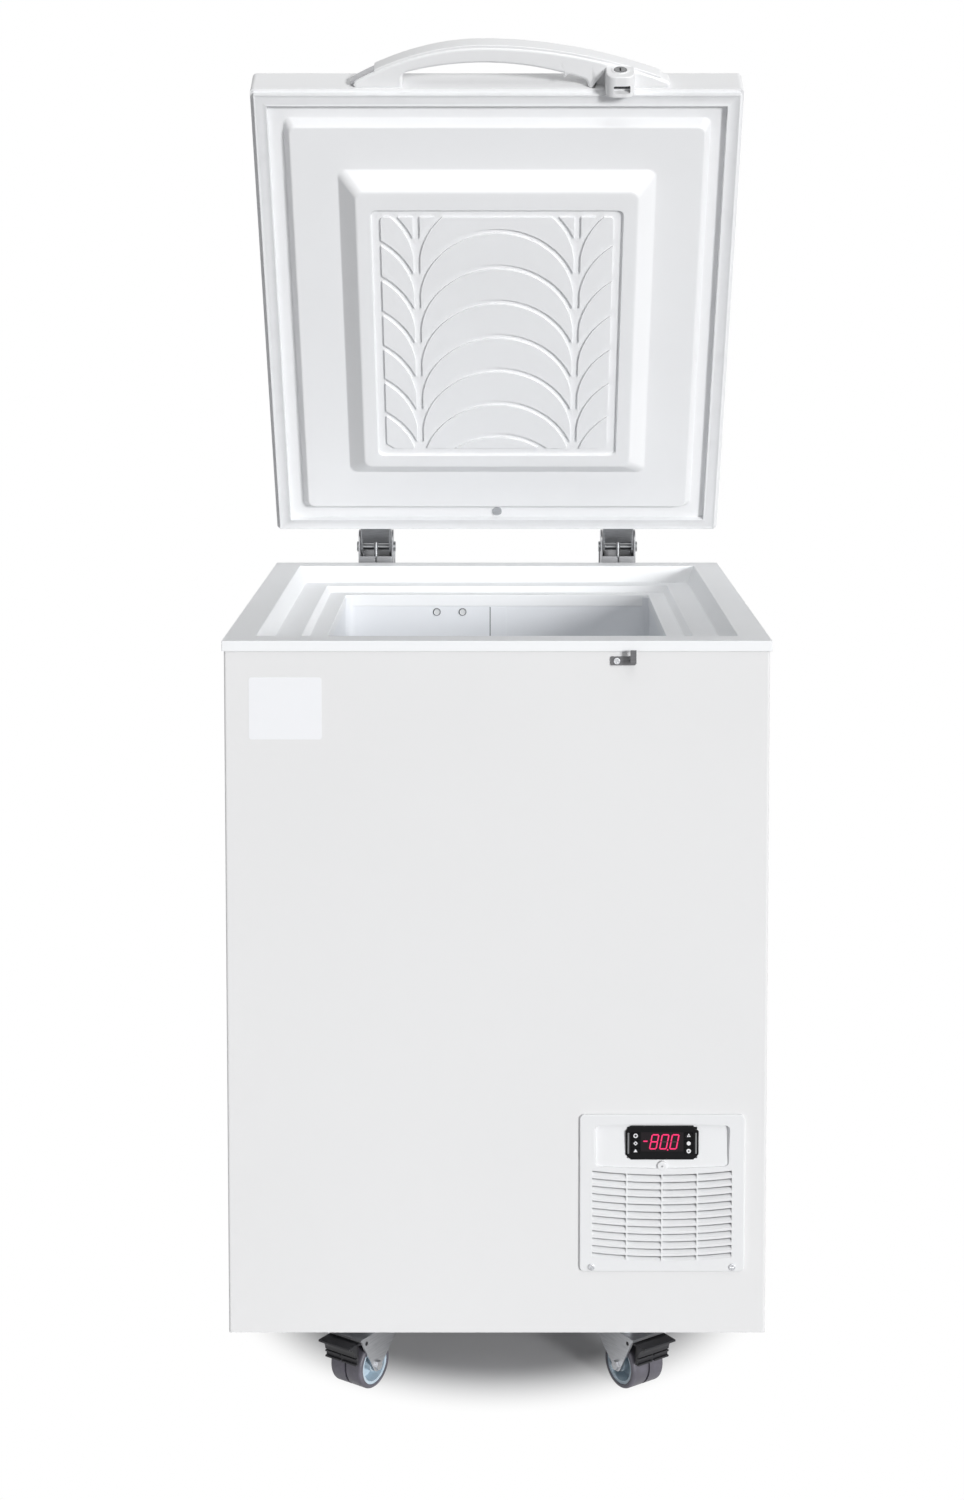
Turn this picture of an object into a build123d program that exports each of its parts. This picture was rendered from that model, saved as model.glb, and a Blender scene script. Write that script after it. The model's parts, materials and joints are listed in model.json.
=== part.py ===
from build123d import *
from math import cos, radians, sin
import os

os.makedirs("parts", exist_ok=True)

# A small chest ultra low temperature freezer on four castors, with its lid open.
# Millimetres. Z is up, the front faces -Y, and the origin is on the floor under the cabinet's middle.

# Cabinet shell
cabinet_width = 552.0
cabinet_depth = 608.0
castor_height = 72.0
shell_height = 708.0
sheet = 1.0
front_corner = 2.5
pan_sheet = 1.5
pan_flange = 15.0
deck_height = 300.0

# Rim collar: each inset is measured from the rim's outer edge, each drop from its top
rim_lip = 2.0
rim_band = 11.0
rim_flat = 32.0
first_slope_in = 8.0
first_drop = 20.0
first_ledge = 28.0
second_slope_in = 5.0
second_drop = 8.0
second_ledge = 19.0
collar_wall = 3.0
band_wall = 4.0

# Inner tank and its cooling coil
tank_depth = 283.0
tank_sheet = 1.0
tank_flange = 16.0
tank_corner = 12.0
coil_tube = 8.0
coil_gap = 0.3
coil_turns = 6
coil_pitch = 38.0
coil_bottom = 30.0
probe_cap = 7.0
probe_drop = 18.0
probe_middle = -58.0
probe_spacing = 31.5

# Lid, drawn closed about its hinge axis and then turned open
lid_end_over = 1.0
lid_height = 42.0
lid_gap = 8.0
lid_wall = 2.5
lid_corner = 5.0
lid_edge = 3.0
lid_open_angle = 60.0
hinge_back = 36.0
hinge_rise = 16.0
gasket_outer_inset = 4.0
gasket_width = 14.5
gasket_clearance = 0.3
gasket_lip = 2.0
liner_wall = 2.5
step_inset = 36.0
step_slope = 6.0
step_height = 12.0
plug_inset = 96.0
plug_slope = 20.0
plug_height = 18.0
plug_corner = 8.0
recess_inset = 17.0
recess_front_inset = 24.0
recess_depth = 4.0

# Handle and lock on the lid's front wall
handle_left = -162.0
handle_right = 195.0
handle_reach = 52.0
handle_low = -6.0
handle_tall = 22.0
grip_gap = 30.0
grip_left = -123.0
grip_right = 99.0
cover_thickness = 2.5
lock_x = 137.5
lock_housing_width = 32.0
lock_housing_reach = 26.0
lock_housing_drop = 24.0
lock_radius = 7.0
lock_clearance = 0.3
lock_drop = 8.0
lock_cam_length = 9.0
lock_cam_thickness = 3.0
hook_slot_width = 18.6
hook_slot_reach = 9.5
hook_slot_depth = 10.0
hook_reach = 9.8
cam_back = 3.5
arch_left = -140.0
arch_left_reach = 18.4
arch_apex = -15.0
arch_right = 96.0
arch_right_reach = 37.6
arch_end = 188.0
arch_end_reach = 11.5

# Keeper on the front sheet
keeper_width = 25.4
keeper_height = 9.0
keeper_sheet = 1.5
keeper_drop = 20.6
keeper_middle = 127.3
hook_width = 6.0
hook_sheet = 2.0
hook_top_drop = 8.0

# Hinges
hinge_spacing = 308.0
bracket_width = 44.0
bracket_sheet = 2.0
bracket_length = 170.0
bracket_back = 10.0
bracket_foot = 14.0
ear_width = 24.0
ear_rise = 22.0
web_drop = 24.0
arm_width = 38.0
arm_sheet = 2.0
arm_radius = 12.0
hinge_pin_radius = 4.0
pin_head_radius = 6.5
pin_head = 2.5
pin_clearance = 0.1
lever_radius = 12.0
lever_pin_radius = 2.5
spring_radius = 8.0
spring_wire = 2.4
spring_turns = 11

# Grille panel and controller
grille_side_margin = 22.5
grille_middle_z = 220.0
grille_width = 169.0
grille_height = 165.0
grille_proud = 3.0
grille_corner = 5.0
grille_body = 9.0
grille_border = 9.0
grille_wall = 3.0
louvre_rows = 12
louvre_columns = 4
louvre_pitch = 7.8
louvre_slot = 4.6
louvre_span = 143.0
louvre_rib = 1.6
louvre_top_drop = 61.0
scoop_width = 142.7
scoop_height = 42.0
scoop_drop = 12.0
scoop_depth = 5.0
scoop_arch = 2.4
bezel_width = 75.0
bezel_height = 35.0
bezel_proud = 3.5
bezel_corner = 6.0
bezel_drop = 30.4
bezel_body_depth = 28.0
bezel_body_margin = 3.0
window_width = 43.4
window_height = 20.0
window_rise = 1.4
window_sheet = 1.2
key_width = 8.0
key_height = 5.5
key_thick = 3.0
key_proud = 0.5
key_travel = 0.8
key_pitch = 8.0
key_side = 27.2
key_clearance = 0.3

# Machine compartment
compressor_side = 156.0
compressor_back = 174.0
compressor_radius = 68.0
compressor_tall = 140.0
compressor_dome = 30.0
terminal_width = 54.0
terminal_depth = 30.0
terminal_tall = 52.0
terminal_lift = 60.0
compressor_foot_x = 150.0
compressor_foot_y = 100.0
foot_radius = 12.0
foot_height = 18.0
mount_plate = 3.0
condenser_width = 140.0
condenser_depth = 50.0
condenser_height = 150.0
condenser_set_back = 60.0
condenser_lift = 60.0
fin_count = 15
fin_sheet = 0.8
end_plate = 1.5
condenser_tube = 9.0
tube_rows = 5
fan_radius = 62.0
fan_hub = 15.0
fan_blades = 5
fan_blade_tilt = 28.0
fan_depth = 18.0
fan_gap = 12.0
motor_radius = 24.0
motor_length = 48.0
motor_foot = 40.0
motor_foot_side = 6.0
shaft_radius = 3.0
stub_side = 30.0
stub_length = 12.0
line_tube = 6.0
discharge_run = 140.0
drier_radius = 10.0
drier_length = 90.0
drier_side = 41.0
drier_back = 124.0
box_width = 130.0
box_depth = 70.0
box_height = 90.0
box_side = 136.0
box_front = 129.0
inlet_side = 44.0
inlet_z = 109.0
inlet_width = 50.0
inlet_height = 30.0
inlet_depth = 24.0
inlet_flange = 3.0
rear_cover_side = 76.0
rear_cover_height = 210.0
rear_cover_bottom = 112.0
rear_cover_lap = 12.0
rear_slot_rows = 8
rear_slot_columns = 3

# Castors
castor_side_inset = 144.0
castor_set_back = 56.0
castor_trail = 20.0
castor_turn = 35.0
wheel_radius = 25.0
wheel_width = 40.0
wheel_groove = 3.0
wheel_groove_depth = 2.0
tyre_thickness = 4.5
tyre_edge = 3.0
hub_dish = 13.0
axle_radius = 3.0
axle_head_radius = 5.0
axle_head = 3.0
axle_gap = 0.1
leg_front = -14.0
leg_back = 47.0
leg_tip = 6.5
brake_pivot_x = 38.0
brake_pivot_z = 54.5
brake_pin_radius = 2.0
brake_half_width = 20.3
brake_top = 57.5
brake_sheet = 3.0
brake_front = 47.8
brake_low = 35.0
brake_lip = 9.0
brake_reach = 4.0
fork_sheet = 2.2
fork_clearance = 0.8
fork_top = 61.0
crown_sheet = 2.5
plate_size = 60.0
plate_sheet = 2.5
bolt_spacing = 44.0
bolt_radius = 3.0
bolt_head_radius = 5.5
bolt_head = 3.5
swivel_radius = 20.0
kingpin_radius = 5.0
running_gap = 0.3

# Small screws
screw_radius = 1.6
screw_head_radius = 3.6
screw_head = 1.6
screw_clearance = 0.15

# Places worked out from the sizes above
half_width = cabinet_width / 2
half_depth = cabinet_depth / 2
shell_top = castor_height + shell_height
rim_top = shell_top + rim_band
rim_width = cabinet_width + 2 * rim_lip
rim_depth = cabinet_depth + 2 * rim_lip
lid_width = rim_width
lid_depth = rim_depth + 2 * lid_end_over
pan_top = castor_height + pan_sheet
deck_top = castor_height + deck_height + sheet
inset_b = rim_flat + first_slope_in
inset_c = inset_b + first_ledge
inset_d = inset_c + second_slope_in
inset_e = inset_d + second_ledge
drop_b = first_drop + second_drop
tank_top = rim_top - drop_b - collar_wall
tank_floor = tank_top - tank_depth
tank_width = rim_width - 2 * inset_e
tank_length = rim_depth - 2 * inset_e
tank_outer_width = tank_width + 2 * tank_sheet
tank_outer_length = tank_length + 2 * tank_sheet
coil_zone = coil_tube + 2 * coil_gap
coil_half_x = tank_outer_width / 2 + coil_gap + coil_tube / 2
coil_half_y = tank_outer_length / 2 + coil_gap + coil_tube / 2
coil_corner = tank_corner + tank_sheet + coil_gap + coil_tube / 2
arc_middle = coil_corner * sin(radians(45))
suction_x = -(coil_half_x - coil_corner + arc_middle)
suction_y = coil_half_y - coil_corner + arc_middle
grille_middle_x = half_width - grille_side_margin - grille_width / 2
compressor_x = compressor_side - half_width
compressor_y = half_depth - compressor_back
box_x = box_side - half_width
box_y = box_front - half_depth
inlet_x = half_width - inlet_side
rear_cover_width = cabinet_width - 2 * rear_cover_side
castor_x = half_width - castor_side_inset
hinge_y = rim_depth / 2 + hinge_back
hinge_z = rim_top + hinge_rise
tilt = radians(lid_open_angle)
front = Plane.XZ.offset(half_depth)
rear = Plane.XZ.offset(-half_depth)

# In the lid's own plane, y runs back and z up as if the lid were closed, from the hinge axis
lid_plane = Plane(origin=(0, hinge_y, hinge_z), x_dir=(1, 0, 0), z_dir=(0, sin(tilt), cos(tilt)))
lid_back = -hinge_back + (lid_depth - rim_depth) / 2
lid_front = lid_back - lid_depth
lid_low = lid_gap - hinge_rise
lid_high = lid_low + lid_height
lid_middle = (lid_front + lid_back) / 2
housing_low = lid_low - lock_housing_drop
lock_level = handle_low - lock_drop


def lid_face(y):
    """A plane across the lid at y, facing forward, with x to the right and y up the lid."""
    origin = lid_plane.from_local_coords(Vector(0, y, 0))
    return Plane(origin=origin, x_dir=(1, 0, 0), z_dir=-lid_plane.y_dir)


def lid_side(x):
    """A plane along the lid at x, facing right, with x back along the lid and y up."""
    origin = lid_plane.from_local_coords(Vector(x, 0, 0))
    return Plane(origin=origin, x_dir=lid_plane.y_dir, z_dir=(1, 0, 0))


def rectangle_on(plane, width, depth, middle=0.0, corner=0.0):
    """A rectangle on a plane, centred on x, with its middle at y."""
    with BuildSketch(plane) as outline:
        with Locations((0, middle)):
            if corner > 0:
                RectangleRounded(width, depth, corner)
            else:
                Rectangle(width, depth)
    return outline.sketch


def rim_ring(inset, level):
    """The rim's outline moved in by an inset, at a height."""
    return rectangle_on(Plane.XY.offset(level), rim_width - 2 * inset, rim_depth - 2 * inset)


def lid_ring(inset, level, corner=0.0):
    """The lid's outline moved in by an inset, at a height in the lid's plane."""
    plane = lid_plane.offset(level)
    return rectangle_on(plane, lid_width - 2 * inset, lid_depth - 2 * inset, lid_middle, corner)


def save(piece, name):
    """Label a finished piece and write its file."""
    piece.part.label = name
    export_step(piece.part, f"parts/{name}.step")


# Places of the grille panel's features
grille_top = grille_middle_z + grille_height / 2
grille_low = grille_middle_z - grille_height / 2
grille_inner_width = grille_width - 2 * grille_border
grille_inner_height = grille_height - 2 * grille_border
bezel_z = grille_top - bezel_drop
scoop_top = grille_top - scoop_drop
scoop_low = scoop_top - scoop_height
louvre_top = grille_top - louvre_top_drop
window_z = bezel_z + window_rise
screw_side = grille_width / 2 - 12.3
screw_low = grille_low + 5.2
boss_z = scoop_low
grille_screw_places = [
    (grille_middle_x - screw_side, screw_low),
    (grille_middle_x + screw_side, screw_low),
    (grille_middle_x, boss_z),
]
key_places = [
    (grille_middle_x + side * key_side, bezel_z + row * key_pitch)
    for side in (-1, 1)
    for row in (1, 0, -1)
]
keeper_z = rim_top - keeper_drop
keeper_screw_x = keeper_middle - keeper_width / 4

# Painted sheet round the front and both sides
with BuildPart() as outer_wrap:
    with BuildSketch(Plane.XY.offset(castor_height)):
        Rectangle(cabinet_width, cabinet_depth)
    extrude(amount=shell_height)
    fillet(outer_wrap.edges().filter_by(Axis.Z).group_by(Axis.Y)[0], front_corner)
    with BuildSketch(Plane.XY.offset(castor_height)):
        with Locations((0, sheet / 2)):
            Rectangle(cabinet_width - 2 * sheet, cabinet_depth - sheet)
    extrude(amount=shell_height, mode=Mode.SUBTRACT)
    with BuildSketch(front):
        with Locations((grille_middle_x, grille_middle_z)):
            Rectangle(grille_inner_width + 1, grille_inner_height + 1)
        with Locations(*grille_screw_places[:2]):
            Circle(screw_radius + screw_clearance)
        with Locations((keeper_screw_x, keeper_z)):
            Circle(screw_radius + screw_clearance)
    extrude(amount=-2 * sheet, mode=Mode.SUBTRACT)
save(outer_wrap, "outer_wrap")

# Rear sheet between the sides, with the machine compartment's opening and the inlet's hole
rear_opening_width = rear_cover_width - 2 * rear_cover_lap
rear_opening_height = rear_cover_height - 2 * rear_cover_lap
rear_cover_z = rear_cover_bottom + rear_cover_height / 2
cover_screw_x = (rear_cover_width - rear_cover_lap) / 2
cover_screw_rise = (rear_cover_height - rear_cover_lap) / 2
cover_screw_places = [
    (side * cover_screw_x, rear_cover_z + up * cover_screw_rise)
    for side in (-1, 1)
    for up in (-1, 1)
]
bracket_top = rim_top - rim_band - 4
bracket_low = bracket_top - bracket_length
foot_x = bracket_width / 2 + bracket_foot / 2
bracket_screw_places = [
    (side * hinge_spacing / 2 + edge * foot_x, level)
    for side in (-1, 1)
    for edge in (-1, 1)
    for level in (bracket_low + 15, bracket_top - 15)
]
with BuildPart() as rear_panel:
    with BuildSketch(rear):
        with Locations((0, castor_height + shell_height / 2)):
            Rectangle(cabinet_width - 2 * sheet, shell_height)
        with Locations((0, rear_cover_z)):
            Rectangle(rear_opening_width, rear_opening_height, mode=Mode.SUBTRACT)
        with Locations((inlet_x, inlet_z)):
            Rectangle(inlet_width - 4, inlet_height - 4, mode=Mode.SUBTRACT)
        with Locations(*cover_screw_places, *bracket_screw_places):
            Circle(screw_radius + screw_clearance, mode=Mode.SUBTRACT)
    extrude(amount=sheet)
save(rear_panel, "rear_panel")

# Folded base pan inside the shell, drilled for the castors
castor_y = half_depth - castor_set_back
castor_places = [(side * castor_x, end * castor_y) for end in (-1, 1) for side in (-1, 1)]
with BuildPart() as base_pan:
    with BuildSketch(Plane.XY.offset(castor_height)):
        Rectangle(cabinet_width - 2 * sheet, cabinet_depth - 2 * sheet)
    extrude(amount=pan_flange)
    with BuildSketch(Plane.XY.offset(pan_top)):
        Rectangle(cabinet_width - 2 * sheet - 2 * pan_sheet, cabinet_depth - 2 * sheet - 2 * pan_sheet)
    extrude(amount=pan_flange, mode=Mode.SUBTRACT)
    with BuildSketch(Plane.XY.offset(castor_height)):
        for place in castor_places:
            with Locations(place):
                with GridLocations(bolt_spacing, bolt_spacing, 2, 2):
                    Circle(bolt_radius + screw_clearance)
    extrude(amount=pan_sheet, mode=Mode.SUBTRACT)
save(base_pan, "base_pan")

# Sheet deck between the foam and the machine compartment, with a hole for the lines
lines_hole = 12.0
with BuildPart() as machine_deck:
    with BuildSketch(Plane.XY.offset(deck_top - sheet)):
        Rectangle(cabinet_width - 2 * sheet, cabinet_depth - 2 * sheet)
        with Locations((suction_x, suction_y)):
            Circle(lines_hole, mode=Mode.SUBTRACT)
    extrude(amount=sheet)
save(machine_deck, "machine_deck")

# Moulded collar that caps the walls and steps down to the tank
under_b = inset_b - collar_wall
under_c = inset_c - collar_wall
under_d = inset_d - collar_wall
with BuildPart() as rim_collar:
    with BuildLine(Plane.XY.offset(rim_top)):
        Polyline(
            (0, -rim_depth / 2),
            (rim_width / 2, -rim_depth / 2),
            (rim_width / 2, rim_depth / 2),
            (-rim_width / 2, rim_depth / 2),
            (-rim_width / 2, -rim_depth / 2),
            (0, -rim_depth / 2),
        )
    with BuildSketch(Plane(origin=(0, -rim_depth / 2, rim_top), x_dir=(0, 1, 0), z_dir=(1, 0, 0))):
        with BuildLine():
            Polyline(
                (0, 0),
                (rim_flat, 0),
                (inset_b, -first_drop),
                (inset_c, -first_drop),
                (inset_d, -drop_b),
                (inset_e, -drop_b),
                (inset_e, -drop_b - collar_wall),
                (under_d, -drop_b - collar_wall),
                (under_c, -first_drop - collar_wall),
                (under_b, -first_drop - collar_wall),
                (rim_flat - collar_wall, -collar_wall),
                (band_wall, -collar_wall),
                (band_wall, -rim_band),
                (0, -rim_band),
                close=True,
            )
        make_face()
    sweep(transition=Transition.RIGHT)
save(rim_collar, "rim_collar")

# Sheet metal tank with a flange under the collar's lowest ledge
with BuildPart() as inner_tank:
    with BuildSketch(Plane.XY.offset(tank_floor - tank_sheet)):
        RectangleRounded(tank_outer_width, tank_outer_length, tank_corner + tank_sheet)
    extrude(amount=tank_depth + tank_sheet)
    with BuildSketch(Plane.XY.offset(tank_top - tank_sheet)):
        Rectangle(tank_width + 2 * tank_flange, tank_length + 2 * tank_flange)
    extrude(amount=tank_sheet)
    with BuildSketch(Plane.XY.offset(tank_floor)):
        RectangleRounded(tank_width, tank_length, tank_corner)
    extrude(amount=tank_depth, mode=Mode.SUBTRACT)
save(inner_tank, "inner_tank")

# Two small round caps over the probe wells in the tank's back wall
with BuildPart() as tank_caps:
    with BuildSketch(Plane.XZ.offset(-tank_length / 2)):
        with Locations((probe_middle, tank_top - probe_drop)):
            with GridLocations(probe_spacing, 1, 2, 1):
                Circle(probe_cap / 2)
    extrude(amount=2)
save(tank_caps, "tank_caps")

# Foamed insulation between the shell, the collar, the tank and the deck
coil_low = tank_floor + coil_bottom
coil_high = coil_low + (coil_turns - 1) * coil_pitch
zone_margin = coil_tube / 2 + coil_gap
with BuildPart() as insulation_foam:
    with BuildSketch(Plane.XY.offset(deck_top)):
        Rectangle(cabinet_width - 2 * sheet, cabinet_depth - 2 * sheet)
    extrude(amount=shell_top - deck_top)
    extrude(rim_ring(band_wall, shell_top), amount=rim_band - collar_wall)
    loft(
        [
            rim_ring(rim_flat - collar_wall, rim_top - collar_wall),
            rim_ring(under_b, rim_top - first_drop - collar_wall),
        ],
        mode=Mode.SUBTRACT,
    )
    loft(
        [
            rim_ring(under_c, rim_top - first_drop - collar_wall),
            rim_ring(under_d, tank_top),
        ],
        mode=Mode.SUBTRACT,
    )
    with BuildSketch(Plane.XY.offset(tank_top - tank_sheet)):
        Rectangle(tank_width + 2 * tank_flange, tank_length + 2 * tank_flange)
    extrude(amount=tank_sheet, mode=Mode.SUBTRACT)
    with BuildSketch(Plane.XY.offset(tank_floor - tank_sheet)):
        RectangleRounded(tank_outer_width, tank_outer_length, tank_corner + tank_sheet)
    extrude(amount=tank_depth, mode=Mode.SUBTRACT)
    with BuildSketch(Plane.XY.offset(coil_low - zone_margin)):
        Rectangle(tank_outer_width + 2 * coil_zone, tank_outer_length + 2 * coil_zone)
    extrude(amount=coil_high - coil_low + 2 * zone_margin, mode=Mode.SUBTRACT)
    with BuildSketch(Plane.XY.offset(deck_top)):
        with Locations((suction_x, suction_y)):
            Circle(lines_hole)
    extrude(amount=coil_low - deck_top, mode=Mode.SUBTRACT)
save(insulation_foam, "insulation_foam")

# Evaporator tube wound round the tank, one loop above the next
with BuildPart() as evaporator_coil:
    for turn in range(coil_turns):
        level = coil_low + turn * coil_pitch
        with BuildLine(Plane.XY.offset(level)):
            FilletPolyline(
                (0, -coil_half_y),
                (coil_half_x, -coil_half_y),
                (coil_half_x, coil_half_y),
                (-coil_half_x, coil_half_y),
                (-coil_half_x, -coil_half_y),
                (-coil_half_x / 2, -coil_half_y),
                radius=coil_corner,
            )
            Line((-coil_half_x / 2, -coil_half_y), (0, -coil_half_y))
        with BuildSketch(Plane(origin=(0, -coil_half_y, level), x_dir=(0, 1, 0), z_dir=(1, 0, 0))):
            Circle(coil_tube / 2)
        sweep()
    for turn in range(coil_turns - 1):
        side = -1 if turn % 2 else 1
        with BuildSketch(Plane.XY.offset(coil_low + turn * coil_pitch)):
            with Locations((side * 60, -coil_half_y)):
                Circle(coil_tube / 2 - 1)
        extrude(amount=coil_pitch)
save(evaporator_coil, "evaporator_coil")

# Hermetic compressor: a domed can welded to a foot plate
feet_top = pan_top + foot_height
can_low = feet_top + mount_plate
can_top = can_low + compressor_tall
stub_top = can_top + stub_length
line_radius = line_tube / 2
with BuildPart() as compressor:
    with BuildSketch(Plane.XY.offset(feet_top)):
        with Locations((compressor_x, compressor_y)):
            RectangleRounded(compressor_foot_x + 30, compressor_foot_y + 30, 10)
            with GridLocations(compressor_foot_x, compressor_foot_y, 2, 2):
                Circle(4, mode=Mode.SUBTRACT)
    extrude(amount=mount_plate)
    with BuildSketch(Plane.XY.offset(can_low)):
        with Locations((compressor_x, compressor_y)):
            Circle(compressor_radius)
    extrude(amount=compressor_tall)
    fillet(compressor.edges().group_by(Axis.Z)[-1], compressor_dome)
    with BuildSketch(Plane.XY.offset(can_low + terminal_lift)):
        with Locations((compressor_x + compressor_radius, compressor_y)):
            Rectangle(terminal_depth, terminal_width)
    extrude(amount=terminal_tall)
    with BuildSketch(Plane.XY.offset(can_top)):
        with Locations((compressor_x - stub_side, compressor_y), (compressor_x + stub_side, compressor_y)):
            Circle(line_radius)
    extrude(amount=stub_top - can_top)
save(compressor, "compressor")

# Rubber grommets under the compressor's foot plate
with BuildPart() as compressor_feet:
    with BuildSketch(Plane.XY.offset(pan_top)):
        with Locations((compressor_x, compressor_y)):
            with GridLocations(compressor_foot_x, compressor_foot_y, 2, 2):
                Circle(foot_radius)
                Circle(4, mode=Mode.SUBTRACT)
    extrude(amount=foot_height)
save(compressor_feet, "compressor_feet")

# Finned condenser behind the grille, standing on its two end plates
condenser_x = grille_middle_x
condenser_y = -half_depth + condenser_set_back
condenser_low = pan_top + condenser_lift
condenser_z = condenser_low + condenser_height / 2
tube_pitch = condenser_height / tube_rows
with BuildPart() as condenser:
    with BuildSketch(Plane.YZ.offset(condenser_x)):
        with Locations((condenser_y, condenser_z)):
            Rectangle(condenser_depth, condenser_height)
    fin_pitch = condenser_width / (fin_count + 1)
    extrude(amount=condenser_width / 2, both=True)
    with BuildSketch(Plane.XZ.offset(-condenser_y + condenser_depth)):
        with Locations((condenser_x, condenser_z)):
            with GridLocations(fin_pitch, 1, fin_count + 1, 1):
                Rectangle(fin_pitch - fin_sheet, condenser_height + 2)
    extrude(amount=2 * condenser_depth, mode=Mode.SUBTRACT)
    with BuildSketch(Plane.YZ.offset(condenser_x - condenser_width / 2 - end_plate)):
        with Locations((condenser_y, (pan_top + condenser_low + condenser_height) / 2)):
            Rectangle(condenser_depth, condenser_low + condenser_height - pan_top)
    extrude(amount=end_plate)
    with BuildSketch(Plane.YZ.offset(condenser_x + condenser_width / 2)):
        with Locations((condenser_y, (pan_top + condenser_low + condenser_height) / 2)):
            Rectangle(condenser_depth, condenser_low + condenser_height - pan_top)
    extrude(amount=end_plate)
    with BuildSketch(Plane.YZ.offset(condenser_x - condenser_width / 2 - 8)):
        with Locations((condenser_y, condenser_z)):
            with GridLocations(condenser_depth / 2, tube_pitch, 2, tube_rows):
                Circle(condenser_tube / 2)
    extrude(amount=condenser_width + 16)
save(condenser, "condenser")

# Fan motor on its bracket, behind the fan
fan_y = condenser_y + condenser_depth / 2 + fan_gap
motor_y = fan_y + fan_depth + 4
shaft_y = motor_y + 18
motor_foot_width = 2 * (motor_radius + motor_foot_side)
with BuildPart() as fan_motor:
    with BuildSketch(Plane.XZ.offset(-motor_y)):
        with Locations((condenser_x, condenser_z)):
            Circle(motor_radius)
    extrude(amount=-motor_length)
    with BuildSketch(Plane.XZ.offset(-motor_y - motor_length)):
        with Locations((condenser_x, (pan_top + condenser_z + motor_radius) / 2)):
            Rectangle(motor_foot_width, condenser_z + motor_radius - pan_top)
    extrude(amount=-mount_plate)
    with BuildSketch(Plane.XY.offset(pan_top)):
        with Locations((condenser_x, motor_y + motor_length + motor_foot / 2)):
            Rectangle(motor_foot_width, motor_foot)
    extrude(amount=mount_plate)
    with BuildSketch(Plane.XZ.offset(-motor_y)):
        with Locations((condenser_x, condenser_z)):
            Circle(shaft_radius + running_gap)
    extrude(amount=-(shaft_y - motor_y + 2), mode=Mode.SUBTRACT)
save(fan_motor, "fan_motor")

# Fan with its shaft
with BuildPart() as fan_blade:
    with BuildSketch(Plane.XZ.offset(-fan_y)):
        with Locations((condenser_x, condenser_z)):
            Circle(fan_hub)
    extrude(amount=-fan_depth)
    with BuildSketch(Plane.XZ.offset(-fan_y)):
        with Locations((condenser_x, condenser_z)):
            Circle(shaft_radius)
    extrude(amount=-(shaft_y - fan_y))
    for blade in range(fan_blades):
        angle = radians(360 / fan_blades * blade)
        radial = Vector(cos(angle), 0, sin(angle))
        root = Vector(condenser_x, fan_y + fan_depth / 2, condenser_z) + radial * (fan_hub - 2)
        with BuildSketch(Plane(origin=root, x_dir=(0, 1, 0), z_dir=radial)):
            Rectangle(fan_depth * 0.9, 1.6, rotation=fan_blade_tilt)
        extrude(amount=fan_radius - fan_hub + 2)
save(fan_blade, "fan_blade")

# Filter drier upright in the liquid line
tube_end_x = condenser_x - condenser_width / 2 - 8
tube_end_y = condenser_y + condenser_depth / 4
tube_high = condenser_z + 2 * tube_pitch
tube_low = condenser_z - 2 * tube_pitch
drier_x = tube_end_x - drier_side
drier_y = condenser_y + drier_back
drier_low = tube_low + 12
with BuildPart() as filter_drier:
    with BuildSketch(Plane.XY.offset(drier_low)):
        with Locations((drier_x, drier_y)):
            Circle(drier_radius)
    extrude(amount=drier_length)
    chamfer(filter_drier.edges().filter_by(GeomType.CIRCLE), 4)
save(filter_drier, "filter_drier")

# Refrigerant lines between the compressor, the condenser, the drier and the coil
capillary_radius = 1.5
lines_top = coil_low - coil_tube / 2 - coil_gap
suction_level = can_top + 85
capillary_level = can_top + 55
capillary_gap = 3.7
capillary_x = suction_x + capillary_gap
capillary_y = suction_y + capillary_gap
capillary_turn_y = compressor_y - 30
discharge_x = drier_x - 30
discharge_y = drier_y + discharge_run
line_routes = [
    (line_radius, 10, [
        (compressor_x + stub_side, compressor_y, stub_top),
        (compressor_x + stub_side, compressor_y, tube_high),
        (discharge_x, discharge_y, tube_high),
        (discharge_x, tube_end_y, tube_high),
        (tube_end_x, tube_end_y, tube_high),
    ]),
    (line_radius, 5, [
        (tube_end_x, tube_end_y, tube_low),
        (drier_x, tube_end_y, tube_low),
        (drier_x, drier_y, tube_low),
        (drier_x, drier_y, drier_low),
    ]),
    (line_radius, 20, [
        (compressor_x - stub_side, compressor_y, stub_top),
        (compressor_x - stub_side, compressor_y, suction_level),
        (suction_x, suction_y, suction_level),
        (suction_x, suction_y, lines_top),
    ]),
    (capillary_radius, 20, [
        (drier_x, drier_y, drier_low + drier_length),
        (drier_x, drier_y, capillary_level),
        (capillary_x, capillary_turn_y, capillary_level),
        (capillary_x, capillary_y, capillary_level),
        (capillary_x, capillary_y, lines_top),
    ]),
]
with BuildPart() as refrigerant_lines:
    for radius, bend, points in line_routes:
        with BuildLine():
            FilletPolyline(*points, radius=bend)
        start = Vector(*points[0])
        with BuildSketch(Plane(origin=start, z_dir=Vector(*points[1]) - start)):
            Circle(radius)
        sweep()
save(refrigerant_lines, "refrigerant_lines")

# Electrical box standing open side down on the base pan
with BuildPart() as electrical_box:
    with BuildSketch(Plane.XY.offset(pan_top)):
        with Locations((box_x, box_y)):
            RectangleRounded(box_width, box_depth, 4)
    extrude(amount=box_height)
    with BuildSketch(Plane.XY.offset(pan_top)):
        with Locations((box_x, box_y)):
            Rectangle(box_width - 4, box_depth - 4)
    extrude(amount=box_height - 2, mode=Mode.SUBTRACT)
save(electrical_box, "electrical_box")

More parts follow.
